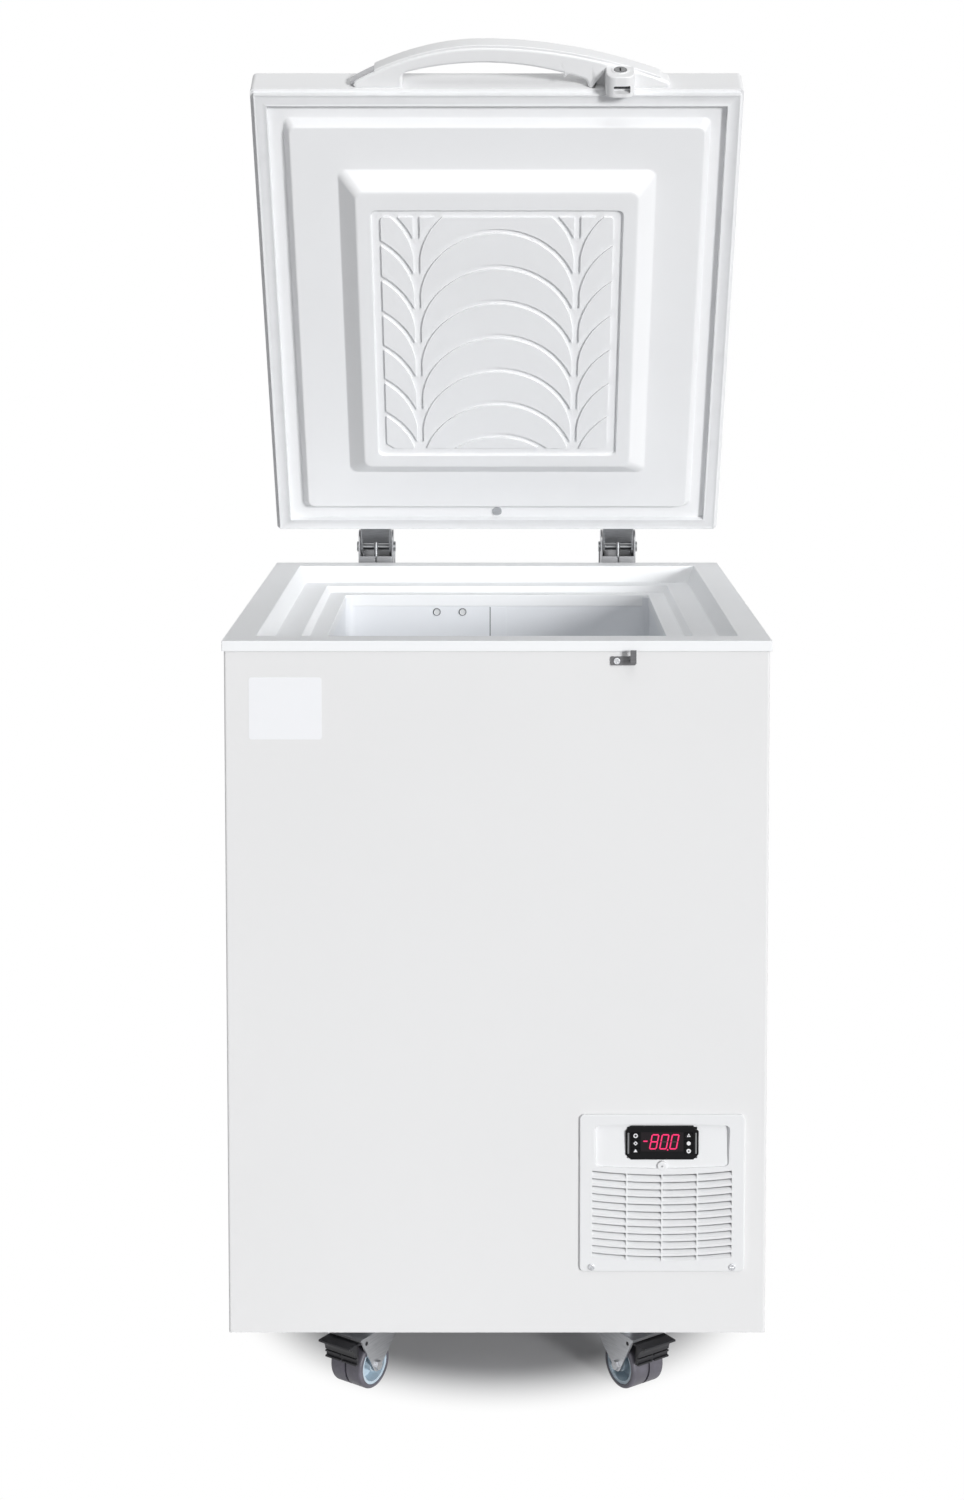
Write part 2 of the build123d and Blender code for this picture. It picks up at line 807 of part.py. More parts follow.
# Appliance inlet in the rear sheet
with BuildPart() as power_inlet:
    with BuildSketch(rear):
        with Locations((inlet_x, inlet_z)):
            RectangleRounded(inlet_width, inlet_height, 3)
    extrude(amount=-inlet_flange)
    with BuildSketch(rear):
        with Locations((inlet_x, inlet_z)):
            Rectangle(inlet_width - 5, inlet_height - 5)
    extrude(amount=inlet_depth)
    with BuildSketch(rear.offset(-inlet_flange)):
        with Locations((inlet_x, inlet_z)):
            RectangleRounded(inlet_width - 18, inlet_height - 12, 2)
    extrude(amount=inlet_depth, mode=Mode.SUBTRACT)
save(power_inlet, "power_inlet")

# Slotted cover over the machine compartment
slot_margin = 45.0
slot_gap = 20.0
slots_width = rear_cover_width - 2 * slot_margin
slot_length = (slots_width - (rear_slot_columns - 1) * slot_gap) / rear_slot_columns
slot_height = 5.0
slot_pitch = 16.0
with BuildPart() as rear_cover:
    with BuildSketch(rear):
        with Locations((0, rear_cover_z)):
            RectangleRounded(rear_cover_width, rear_cover_height, 4)
            with GridLocations(slot_length + slot_gap, slot_pitch, rear_slot_columns, rear_slot_rows):
                SlotOverall(slot_length, slot_height, mode=Mode.SUBTRACT)
        with Locations(*cover_screw_places):
            Circle(screw_radius + screw_clearance, mode=Mode.SUBTRACT)
    extrude(amount=-sheet)
save(rear_cover, "rear_cover")

# Grille panel: a framed plate with louvre slots below and a scooped place for the controller
with BuildPart() as front_grille:
    with BuildSketch(front):
        with Locations((grille_middle_x, grille_middle_z)):
            RectangleRounded(grille_width, grille_height, grille_corner)
    extrude(amount=grille_proud)
    fillet(front_grille.faces().sort_by(Axis.Y)[0].edges(), 1.2)
    with BuildSketch(front):
        with Locations((grille_middle_x, grille_middle_z)):
            Rectangle(grille_inner_width, grille_inner_height)
    extrude(amount=-grille_body)
    with BuildSketch(front):
        hollow_low = grille_low + grille_border + grille_wall
        hollow_high = louvre_top + louvre_slot
        with Locations((grille_middle_x, (hollow_low + hollow_high) / 2)):
            Rectangle(grille_inner_width - 2 * grille_wall, hollow_high - hollow_low)
    extrude(amount=-grille_body, mode=Mode.SUBTRACT)
    with BuildSketch(front.offset(grille_proud)):
        with BuildLine():
            left = grille_middle_x - scoop_width / 2
            right = grille_middle_x + scoop_width / 2
            ThreePointArc((left, scoop_top), (grille_middle_x, scoop_top + scoop_arch), (right, scoop_top))
            Line((right, scoop_top), (right, scoop_low))
            ThreePointArc((right, scoop_low), (grille_middle_x, scoop_low - scoop_arch), (left, scoop_low))
            Line((left, scoop_low), (left, scoop_top))
        make_face()
    extrude(amount=-scoop_depth, mode=Mode.SUBTRACT)
    with BuildSketch(front.offset(grille_proud)):
        cell = (louvre_span - (louvre_columns - 1) * louvre_rib) / louvre_columns
        with Locations((grille_middle_x, louvre_top - (louvre_rows - 1) * louvre_pitch / 2)):
            with GridLocations(cell + louvre_rib, louvre_pitch, louvre_columns, louvre_rows):
                Rectangle(cell, louvre_slot)
        with Locations(*grille_screw_places[:2]):
            Circle(screw_radius + screw_clearance)
    extrude(amount=-grille_proud, mode=Mode.SUBTRACT)
    with BuildSketch(front.offset(grille_proud)):
        with Locations((grille_middle_x, bezel_z)):
            Rectangle(
                bezel_width - 2 * bezel_body_margin + 2 * key_clearance,
                bezel_height - 2 * bezel_body_margin + 2 * key_clearance,
            )
    extrude(amount=-(grille_proud + grille_body), mode=Mode.SUBTRACT)
    with BuildSketch(front.offset(grille_proud - scoop_depth)):
        with Locations(grille_screw_places[2]):
            Circle(bolt_head_radius)
    extrude(amount=scoop_depth)
    with BuildSketch(front.offset(grille_proud)):
        with Locations(grille_screw_places[2]):
            Circle(screw_radius + screw_clearance)
    extrude(amount=-8, mode=Mode.SUBTRACT)
save(front_grille, "front_grille")

# Controller bezel with cut corners, pockets for the window and the keys, and its body behind
bezel_plane = front.offset(grille_proud - scoop_depth)
bezel_face = front.offset(grille_proud - scoop_depth + bezel_proud)
key_pocket = key_thick - key_proud + key_travel + key_clearance
with BuildPart() as controller_bezel:
    with BuildSketch(bezel_plane):
        with Locations((grille_middle_x, bezel_z)):
            Rectangle(bezel_width, bezel_height)
    extrude(amount=bezel_proud)
    chamfer(controller_bezel.edges().filter_by(Axis.Y), bezel_corner)
    with BuildSketch(bezel_plane):
        with Locations((grille_middle_x, bezel_z)):
            Rectangle(bezel_width - 2 * bezel_body_margin, bezel_height - 2 * bezel_body_margin)
    extrude(amount=-bezel_body_depth)
    with BuildSketch(bezel_face):
        with Locations((grille_middle_x, window_z)):
            Rectangle(window_width, window_height)
    extrude(amount=-window_sheet, mode=Mode.SUBTRACT)
    with BuildSketch(bezel_face):
        with Locations(*key_places):
            Rectangle(key_width + 2 * key_clearance, key_height + 2 * key_clearance)
    extrude(amount=-key_pocket, mode=Mode.SUBTRACT)
save(controller_bezel, "controller_bezel")

# Window over the digits
with BuildPart() as controller_display:
    with BuildSketch(bezel_face):
        with Locations((grille_middle_x, window_z)):
            Rectangle(window_width, window_height)
    extrude(amount=-window_sheet)
save(controller_display, "controller_display")

# Six keys, three each side of the window
for number, place in enumerate(key_places, start=1):
    with BuildPart() as controller_key:
        with BuildSketch(bezel_face.offset(key_proud)):
            with Locations(place):
                RectangleRounded(key_width, key_height, 1)
        extrude(amount=-key_thick)
    save(controller_key, f"controller_key_{number}")

# Keeper with the hook that rises into the lock's slot
hook_y = hinge_y + lid_front - hook_reach
hook_x = keeper_middle + keeper_width / 2 - hook_width / 2
with BuildPart() as keeper:
    with BuildSketch(front):
        with Locations((keeper_middle, keeper_z)):
            RectangleRounded(keeper_width, keeper_height, 1)
        with Locations((keeper_screw_x, keeper_z)):
            Circle(screw_radius + screw_clearance, mode=Mode.SUBTRACT)
    extrude(amount=keeper_sheet)
    with BuildSketch(Plane.YZ.offset(hook_x - hook_width / 2)):
        with BuildLine():
            outer = hook_y - hook_sheet / 2
            inner = hook_y + hook_sheet / 2
            floor = keeper_z - hook_sheet / 2
            Polyline(
                (-half_depth, floor),
                (outer, floor),
                (outer, rim_top - hook_top_drop),
                (inner, rim_top - hook_top_drop),
                (inner, floor + hook_sheet),
                (-half_depth, floor + hook_sheet),
                close=True,
            )
        make_face()
    extrude(amount=hook_width)
save(keeper, "keeper")


def screws_through(plane, places, length):
    """Domed screws on a plane, each a head in front of it and a shank behind it."""
    with BuildPart() as screws:
        with BuildSketch(plane):
            with Locations(*places):
                Circle(screw_head_radius)
        extrude(amount=screw_head)
        chamfer(screws.faces().sort_by(Axis(plane.origin, plane.z_dir))[-1].edges(), 0.6)
        with BuildSketch(plane):
            with Locations(*places):
                Circle(screw_radius)
        extrude(amount=-length)
    return screws.part


# Screws of the grille panel and the keeper
with BuildPart() as front_screws:
    for place in grille_screw_places[:2]:
        add(screws_through(front.offset(grille_proud), [place], grille_proud + sheet))
    add(screws_through(front.offset(grille_proud), [grille_screw_places[2]], 7))
    add(screws_through(front.offset(keeper_sheet), [(keeper_screw_x, keeper_z)], keeper_sheet + sheet))
save(front_screws, "front_screws")

# Screws of the rear cover and the hinge brackets
outward_rear = Plane(origin=(0, half_depth, 0), x_dir=(-1, 0, 0), z_dir=(0, 1, 0))
with BuildPart() as rear_screws:
    for x, z in cover_screw_places:
        add(screws_through(outward_rear.offset(sheet), [(-x, z)], 2 * sheet))
    for x, z in bracket_screw_places:
        add(screws_through(outward_rear.offset(bracket_sheet), [(-x, z)], bracket_sheet + sheet))
save(rear_screws, "rear_screws")

# Hinge brackets: a channel with ears for the pin and feet on the rear sheet
web_y = hinge_y + bracket_back
ear_middle = web_y - ear_width / 2
ear_shoulder = hinge_z + ear_rise - ear_width / 2
seat_z = bracket_low + 20
hinge_sides = (-hinge_spacing / 2, hinge_spacing / 2)
with BuildPart() as hinge_brackets:
    for hinge_x in hinge_sides:
        for cheek_x in (hinge_x - bracket_width / 2, hinge_x + bracket_width / 2 - bracket_sheet):
            with BuildSketch(Plane.YZ.offset(cheek_x)):
                with BuildLine():
                    Polyline(
                        (web_y - ear_width, ear_shoulder),
                        (web_y - ear_width, bracket_top + 10),
                        (half_depth, bracket_top),
                        (half_depth, bracket_low),
                        (web_y, bracket_low),
                        (web_y, ear_shoulder),
                    )
                    ThreePointArc(
                        (web_y, ear_shoulder),
                        (ear_middle, ear_shoulder + ear_width / 2),
                        (web_y - ear_width, ear_shoulder),
                    )
                make_face()
                with Locations((hinge_y, hinge_z)):
                    Circle(hinge_pin_radius + pin_clearance / 2, mode=Mode.SUBTRACT)
            extrude(amount=bracket_sheet)
        with BuildSketch(Plane.XZ.offset(-web_y)):
            with Locations((hinge_x, (bracket_low + hinge_z - web_drop) / 2)):
                Rectangle(bracket_width, hinge_z - web_drop - bracket_low)
        extrude(amount=bracket_sheet)
        with BuildSketch(Plane.XY.offset(seat_z - bracket_sheet)):
            with Locations((hinge_x, (half_depth + web_y) / 2)):
                Rectangle(bracket_width, web_y - half_depth)
        extrude(amount=bracket_sheet)
        for edge in (-1, 1):
            with BuildSketch(rear):
                with Locations((hinge_x + edge * foot_x, (bracket_low + bracket_top) / 2)):
                    Rectangle(bracket_foot, bracket_length)
                foot_middle = hinge_x + edge * foot_x
                with Locations(*[p for p in bracket_screw_places if abs(p[0] - foot_middle) < 1]):
                    Circle(screw_radius + screw_clearance, mode=Mode.SUBTRACT)
            extrude(amount=-bracket_sheet)
save(hinge_brackets, "hinge_brackets")

# Headed hinge pins through the ears
with BuildPart() as hinge_pins:
    for hinge_x in hinge_sides:
        with BuildSketch(Plane.YZ.offset(hinge_x - bracket_width / 2)):
            with Locations((hinge_y, hinge_z)):
                Circle(hinge_pin_radius)
        extrude(amount=bracket_width)
        with BuildSketch(Plane.YZ.offset(hinge_x - bracket_width / 2)):
            with Locations((hinge_y, hinge_z)):
                Circle(pin_head_radius)
        extrude(amount=-pin_head)
        with BuildSketch(Plane.YZ.offset(hinge_x + bracket_width / 2)):
            with Locations((hinge_y, hinge_z)):
                Circle(pin_head_radius)
        extrude(amount=pin_head)
save(hinge_pins, "hinge_pins")

# Compression springs in the brackets, each with a cap and a push rod under the lid's lever pin
lever_back = -lever_radius
lever_up = -3.0
lever_place = lid_plane.from_local_coords(Vector(0, lever_back, lever_up))
cap_low = hinge_z - 32
cap_thick = 4.0
rod_radius = 2.5
with BuildPart() as hinge_springs:
    for hinge_x in hinge_sides:
        with BuildSketch(Plane(origin=(hinge_x, lever_place.Y, cap_low), z_dir=(0, 0, 1))):
            Circle(spring_radius + spring_wire / 2)
        extrude(amount=cap_thick)
        with BuildSketch(Plane(origin=(hinge_x, lever_place.Y, cap_low), z_dir=(0, 0, 1))):
            Circle(rod_radius)
        extrude(amount=lever_place.Z - lever_pin_radius - running_gap - cap_low)
        coil_foot = seat_z + spring_wire / 2 + running_gap
        coil_head = cap_low - spring_wire / 2 - running_gap
        with BuildLine(Plane(origin=(hinge_x, lever_place.Y, coil_foot))):
            spring_height = coil_head - coil_foot
            Helix(pitch=spring_height / spring_turns, height=spring_height, radius=spring_radius)
        spring_start = (hinge_x + spring_radius, lever_place.Y, coil_foot)
        with BuildSketch(Plane(origin=spring_start, z_dir=(0, 1, 0))):
            Circle(spring_wire / 2)
        sweep(is_frenet=True)
save(hinge_springs, "hinge_springs")

# Castor top plates with their kingpins
plate_low = castor_height - plate_sheet
crown_low = fork_top - crown_sheet
with BuildPart() as castor_plates:
    for place in castor_places:
        with BuildSketch(Plane.XY.offset(plate_low)):
            with Locations(place):
                RectangleRounded(plate_size, plate_size, 5)
                with GridLocations(bolt_spacing, bolt_spacing, 2, 2):
                    Circle(bolt_radius + screw_clearance, mode=Mode.SUBTRACT)
        extrude(amount=plate_sheet)
        with BuildSketch(Plane.XY.offset(crown_low - running_gap)):
            with Locations(place):
                Circle(kingpin_radius)
        extrude(amount=plate_low - crown_low + running_gap)
        with BuildSketch(Plane.XY.offset(crown_low - running_gap - 2.5)):
            with Locations(place):
                Circle(kingpin_radius + 3)
        extrude(amount=2.5)
save(castor_plates, "castor_plates")

# Hexagon bolts and nuts that hold the plates to the base pan
with BuildPart() as castor_bolts:
    for place in castor_places:
        for start, amount, size in (
            (plate_low, -bolt_head, bolt_head_radius),
            (pan_top, bolt_head, bolt_head_radius),
        ):
            with BuildSketch(Plane.XY.offset(start)):
                with Locations(place):
                    with GridLocations(bolt_spacing, bolt_spacing, 2, 2):
                        RegularPolygon(size, 6)
            extrude(amount=amount)
        with BuildSketch(Plane.XY.offset(plate_low)):
            with Locations(place):
                with GridLocations(bolt_spacing, bolt_spacing, 2, 2):
                    Circle(bolt_radius)
        extrude(amount=pan_top - plate_low)
save(castor_bolts, "castor_bolts")

# Lid shell, open below
lid_up = Axis(lid_plane.origin, lid_plane.z_dir)
arm_screw_places = [
    (hinge_x, level) for hinge_x in hinge_sides for level in (lid_low + 13, lid_high - 13)
]
with BuildPart() as lid_outer_shell:
    extrude(lid_ring(0, lid_low, lid_corner), amount=lid_height)
    fillet(lid_outer_shell.edges().group_by(lid_up)[-1], lid_edge)
    extrude(lid_ring(lid_wall, lid_low, lid_wall), amount=lid_height - lid_wall, mode=Mode.SUBTRACT)
    with BuildSketch(lid_face(lid_back)):
        with Locations(*arm_screw_places):
            Circle(screw_radius + screw_clearance)
    extrude(amount=lid_wall, mode=Mode.SUBTRACT)
save(lid_outer_shell, "lid_outer_shell")

# Moulded liner: a flat edge, a step and a plug with a recessed face
step_low = lid_low - step_height
plug_low = step_low - plug_height
step_end = step_inset + step_slope
plug_end = plug_inset + plug_slope
plug_wall = liner_wall + recess_depth
liner_screw = (0, lid_back - (gasket_outer_inset + gasket_width + step_inset) / 2)
liner_screw_head = 6.0
with BuildPart() as lid_liner:
    extrude(lid_ring(lid_wall, lid_low, lid_wall), amount=liner_wall)
    loft([lid_ring(step_inset, lid_low, plug_corner), lid_ring(step_end, step_low, plug_corner)])
    loft([lid_ring(plug_inset, step_low, plug_corner), lid_ring(plug_end, plug_low, plug_corner)])
    loft(
        [
            lid_ring(step_inset + liner_wall, lid_low + liner_wall, plug_corner),
            lid_ring(step_end + liner_wall, step_low + liner_wall, plug_corner),
        ],
        mode=Mode.SUBTRACT,
    )
    loft(
        [
            lid_ring(plug_inset + liner_wall, step_low + liner_wall, plug_corner),
            lid_ring(plug_end + liner_wall, plug_low + plug_wall, plug_corner),
        ],
        mode=Mode.SUBTRACT,
    )
    with BuildSketch(lid_plane.offset(plug_low)):
        recess_front = lid_front + plug_end + recess_front_inset
        recess_back = lid_back - plug_end - recess_inset
        with Locations((0, (recess_front + recess_back) / 2)):
            recess_width = lid_width - 2 * plug_end - 2 * recess_inset
            RectangleRounded(recess_width, recess_back - recess_front, plug_corner)
    extrude(amount=recess_depth, mode=Mode.SUBTRACT)
    with BuildSketch(lid_plane.offset(lid_low)):
        with Locations(liner_screw):
            Circle(screw_radius + screw_clearance)
    extrude(amount=liner_wall, mode=Mode.SUBTRACT)
save(lid_liner, "lid_liner")

# Foam that fills the lid
with BuildPart() as lid_foam:
    inside = lid_ring(lid_wall, lid_low + liner_wall, lid_wall)
    extrude(inside, amount=lid_height - liner_wall - lid_wall)
    loft(
        [
            lid_ring(step_inset + liner_wall, lid_low + liner_wall, plug_corner),
            lid_ring(step_end + liner_wall, step_low + liner_wall, plug_corner),
        ]
    )
    loft(
        [
            lid_ring(plug_inset + liner_wall, step_low + liner_wall, plug_corner),
            lid_ring(plug_end + liner_wall, plug_low + plug_wall, plug_corner),
        ]
    )
save(lid_foam, "lid_foam")

# Mitred gasket round the lid's underside
gasket_half_x = lid_width / 2 - gasket_outer_inset
gasket_front = lid_front + gasket_outer_inset
gasket_back = lid_back - gasket_outer_inset
gasket_thick = lid_gap - gasket_clearance
with BuildPart() as lid_gasket:
    with BuildLine(lid_plane.offset(lid_low)):
        Polyline(
            (0, gasket_front),
            (gasket_half_x, gasket_front),
            (gasket_half_x, gasket_back),
            (-gasket_half_x, gasket_back),
            (-gasket_half_x, gasket_front),
            (0, gasket_front),
        )
    gasket_origin = lid_plane.from_local_coords(Vector(0, gasket_front, lid_low))
    with BuildSketch(Plane(origin=gasket_origin, x_dir=lid_plane.y_dir, z_dir=(1, 0, 0))):
        with BuildLine():
            Polyline(
                (0, 0),
                (gasket_width, 0),
                (gasket_width, -gasket_thick + gasket_lip),
                (gasket_width - gasket_lip, -gasket_thick),
                (gasket_lip, -gasket_thick),
                (0, -gasket_thick + gasket_lip),
                close=True,
            )
        make_face()
    sweep(transition=Transition.RIGHT)
save(lid_gasket, "lid_gasket")


def arch_face(plane, extra):
    """The handle's outline on a plane of the lid, its outer curve moved out by an extra."""
    top = handle_reach - cover_thickness + extra
    with BuildSketch(plane) as outline:
        with BuildLine():
            Line((handle_left, lid_front), (arch_left, lid_front - arch_left_reach - extra))
            ThreePointArc(
                (arch_left, lid_front - arch_left_reach - extra),
                (arch_apex, lid_front - top),
                (arch_right, lid_front - arch_right_reach - extra),
            )
            Line(
                (arch_right, lid_front - arch_right_reach - extra),
                (arch_end, lid_front - arch_end_reach - extra),
            )
            Line((arch_end, lid_front - arch_end_reach - extra), (handle_right, lid_front))
            Line((handle_right, lid_front), (handle_left, lid_front))
        make_face()
    return outline.sketch


# Handle with the lock's housing at its right foot
housing_x = lock_x
slot_x = lock_x + 1.8
handle_plane = lid_plane.offset(handle_low)
with BuildPart() as handle:
    extrude(arch_face(handle_plane, 0), amount=handle_tall)
    with BuildSketch(handle_plane):
        with BuildLine():
            grip_middle = (grip_left + grip_right) / 2
            ThreePointArc(
                (grip_left, lid_front), (grip_middle, lid_front - grip_gap), (grip_right, lid_front)
            )
            Line((grip_right, lid_front), (grip_left, lid_front))
        make_face()
    extrude(amount=handle_tall, mode=Mode.SUBTRACT)
    with BuildSketch(lid_plane.offset(housing_low)):
        with Locations((housing_x, lid_front - lock_housing_reach / 2)):
            Rectangle(lock_housing_width, lock_housing_reach)
    extrude(amount=handle_low - housing_low)
    with BuildSketch(lid_plane.offset(housing_low)):
        with Locations((slot_x, lid_front - hook_reach)):
            Rectangle(hook_slot_width, hook_slot_reach)
    extrude(amount=hook_slot_depth, mode=Mode.SUBTRACT)
    with BuildSketch(lid_face(lid_front - lock_housing_reach)):
        with Locations((lock_x, lock_level)):
            Circle(lock_radius + lock_clearance)
    extrude(amount=-(lock_housing_reach - cam_back + lock_clearance), mode=Mode.SUBTRACT)
    with BuildSketch(lid_face(lid_front - cam_back + lock_clearance)):
        with Locations((lock_x, lock_level)):
            Circle(lock_cam_length + lock_clearance + 0.3)
    extrude(amount=lock_cam_thickness + 2 * lock_clearance, mode=Mode.SUBTRACT)
save(handle, "handle")

# Cover strip along the handle's outer curve
with BuildPart() as handle_cover:
    extrude(arch_face(handle_plane, cover_thickness), amount=handle_tall)
    extrude(arch_face(handle_plane, 0), amount=handle_tall, mode=Mode.SUBTRACT)
    with BuildSketch(handle_plane):
        foot_left = (arch_left + handle_left) / 2 - 10
        foot_right = (arch_end + handle_right) / 2 + 12
        with Locations((foot_left, lid_front), (foot_right, lid_front)):
            Rectangle(abs(handle_left - arch_left) + 20, 2 * handle_reach)
    extrude(amount=handle_tall, mode=Mode.SUBTRACT)
save(handle_cover, "handle_cover")

# Lock barrel with its cam
with BuildPart() as lock_barrel:
    with BuildSketch(lid_face(lid_front - cam_back)):
        with Locations((lock_x, lock_level)):
            Circle(lock_radius)
    extrude(amount=lock_housing_reach - cam_back + 1)
    with BuildSketch(lid_face(lid_front - cam_back)):
        with Locations((lock_x + lock_cam_length / 2, lock_level)):
            Rectangle(lock_cam_length, 6)
        with Locations((lock_x, lock_level)):
            Circle(lock_cam_length, mode=Mode.INTERSECT)
    extrude(amount=lock_cam_thickness)
    with BuildSketch(lid_face(lid_front - lock_housing_reach - 1)):
        with Locations((lock_x, lock_level)):
            Rectangle(1.6, 8)
    extrude(amount=-6, mode=Mode.SUBTRACT)
save(lock_barrel, "lock_barrel")

# Hinge arms on the lid: two cheeks, a web against the lid's rear wall and the lever pin
with BuildPart() as lid_hinge_arms:
    for hinge_x in hinge_sides:
        for cheek_x in (hinge_x - arm_width / 2, hinge_x + arm_width / 2 - arm_sheet):
            with BuildSketch(lid_side(cheek_x)):
                with BuildLine():
                    Polyline(
                        (lid_back, lid_low + 4),
                        (0, -arm_radius),
                        (0, arm_radius),
                        (lid_back, lid_high - 4),
                        close=True,
                    )
                make_face()
                Circle(arm_radius)
                Circle(hinge_pin_radius + pin_clearance, mode=Mode.SUBTRACT)
            extrude(amount=arm_sheet)
        with BuildSketch(lid_face(lid_back)):
            with Locations((hinge_x, (lid_low + lid_high) / 2)):
                Rectangle(arm_width, lid_height - 8)
            with Locations(*[p for p in arm_screw_places if abs(p[0] - hinge_x) < 1]):
                Circle(screw_radius + screw_clearance, mode=Mode.SUBTRACT)
        extrude(amount=-arm_sheet)
        with BuildSketch(lid_side(hinge_x - arm_width / 2 + arm_sheet)):
            with Locations((lever_back, lever_up)):
                Circle(lever_pin_radius)
        extrude(amount=arm_width - 2 * arm_sheet)
save(lid_hinge_arms, "lid_hinge_arms")

# Screws of the hinge arms and the liner
arm_screw_plane = Plane(
    origin=lid_plane.from_local_coords(Vector(0, lid_back + arm_sheet, 0)),
    x_dir=(-1, 0, 0),
    z_dir=lid_plane.y_dir,
)
liner_under = Plane(
    origin=lid_plane.from_local_coords(Vector(0, 0, lid_low)), x_dir=(1, 0, 0), z_dir=-lid_plane.z_dir
)
with BuildPart() as lid_screws:
    for x, level in arm_screw_places:
        add(screws_through(arm_screw_plane, [(-x, level)], arm_sheet + lid_wall))
    with BuildSketch(liner_under):
        with Locations((liner_screw[0], -liner_screw[1])):
            Circle(liner_screw_head)
    extrude(amount=screw_head)
    with BuildSketch(liner_under):
        with Locations((liner_screw[0], -liner_screw[1])):
            Circle(screw_radius)
    extrude(amount=-liner_wall)
save(lid_screws, "lid_screws")

# Castors
hub_radius = wheel_radius - tyre_thickness
leg_inner = wheel_width / 2 + fork_clearance
leg_outer = leg_inner + fork_sheet
castor_names = ("front_left", "front_right", "rear_left", "rear_right")


def castor_plane(place):
    """A castor's own plane on the floor under its kingpin, with x along its trail."""
    x, y = place
    side = 1 if x > 0 else -1
    end = 1 if y > 0 else -1
    trail = (side * sin(radians(castor_turn)), end * cos(radians(castor_turn)), 0)
    return Plane(origin=(x, y, 0), x_dir=trail, z_dir=(0, 0, 1))


def castor_side(plane, across):
    """A plane across a castor, with x along its trail and y up."""
    origin = plane.from_local_coords(Vector(0, across, 0))
    return Plane(origin=origin, x_dir=plane.x_dir, z_dir=-plane.y_dir)


def castor_fork(plane, braked):
    """Swivel cup, crown and two tapered legs, with the axle bolt between them."""
    with BuildPart() as fork:
        with BuildSketch(plane.offset(crown_low)):
            with Locations(((leg_front + leg_back) / 2, 0)):
                Rectangle(leg_back - leg_front, 2 * leg_outer)
        extrude(amount=crown_sheet)
        with BuildSketch(plane.offset(fork_top)):
            Circle(swivel_radius)
        extrude(amount=plate_low - fork_top - running_gap)
        with BuildSketch(plane.offset(crown_low)):
            Circle(kingpin_radius + running_gap)
        extrude(amount=plate_low - crown_low, mode=Mode.SUBTRACT)
        for across in (-leg_inner, leg_outer):
            with BuildSketch(castor_side(plane, across)):
                Polygon(
                    (leg_front, fork_top),
                    (leg_back, fork_top),
                    (castor_trail + leg_tip * 0.86, wheel_radius - leg_tip * 0.5),
                    (castor_trail - leg_tip * 0.86, wheel_radius - leg_tip * 0.5),
                    (leg_front, fork_top - 12),
                    align=None,
                )
                with Locations((castor_trail, wheel_radius)):
                    Circle(leg_tip)
                    Circle(axle_radius + pin_clearance / 2, mode=Mode.SUBTRACT)
                if braked:
                    with Locations((brake_pivot_x, brake_pivot_z)):
                        Circle(brake_pin_radius + running_gap, mode=Mode.SUBTRACT)
            extrude(amount=fork_sheet)
    with BuildPart() as axle:
        with BuildSketch(castor_side(plane, leg_outer + axle_gap)):
            with Locations((castor_trail, wheel_radius)):
                Circle(axle_radius)
        extrude(amount=2 * (leg_outer + axle_gap))
        for across, amount in ((leg_outer + axle_gap, -axle_head), (-leg_outer - axle_gap, axle_head)):
            with BuildSketch(castor_side(plane, across)):
                with Locations((castor_trail, wheel_radius)):
                    RegularPolygon(axle_head_radius, 6)
            extrude(amount=amount)
    with BuildPart() as assembly:
        add(fork.part)
        add(axle.part)
    return assembly


def castor_hub(plane):
    """Wheel centre with a dished web on each side."""
    with BuildPart() as hub:
        with BuildSketch(castor_side(plane, wheel_width / 2 - 1)):
            with Locations((castor_trail, wheel_radius)):
                Circle(hub_radius)
                Circle(axle_radius + pin_clearance, mode=Mode.SUBTRACT)
        extrude(amount=wheel_width - 2)
        for across, amount in ((wheel_width / 2 - 1, hub_dish), (1 - wheel_width / 2, -hub_dish)):
            with BuildSketch(castor_side(plane, across)):
                with Locations((castor_trail, wheel_radius)):
                    Circle(hub_radius - 3)
                    Circle(axle_radius + 4.5, mode=Mode.SUBTRACT)
            extrude(amount=amount, mode=Mode.SUBTRACT)
    return hub


def castor_tyre(plane):
    """Tread ring with rounded shoulders and a groove round its middle."""
    with BuildPart() as tyre:
        with BuildSketch(castor_side(plane, wheel_width / 2)):
            with Locations((castor_trail, wheel_radius)):
                Circle(wheel_radius)
        extrude(amount=wheel_width)
        fillet(tyre.edges(), tyre_edge)
        with BuildSketch(castor_side(plane, wheel_groove / 2)):
            with Locations((castor_trail, wheel_radius)):
                Circle(wheel_radius + 1)
                Circle(wheel_radius - wheel_groove_depth, mode=Mode.SUBTRACT)
        extrude(amount=wheel_groove, mode=Mode.SUBTRACT)
        with BuildSketch(castor_side(plane, wheel_width / 2)):
            with Locations((castor_trail, wheel_radius)):
                Circle(hub_radius + 0.05)
        extrude(amount=wheel_width, mode=Mode.SUBTRACT)
    return tyre


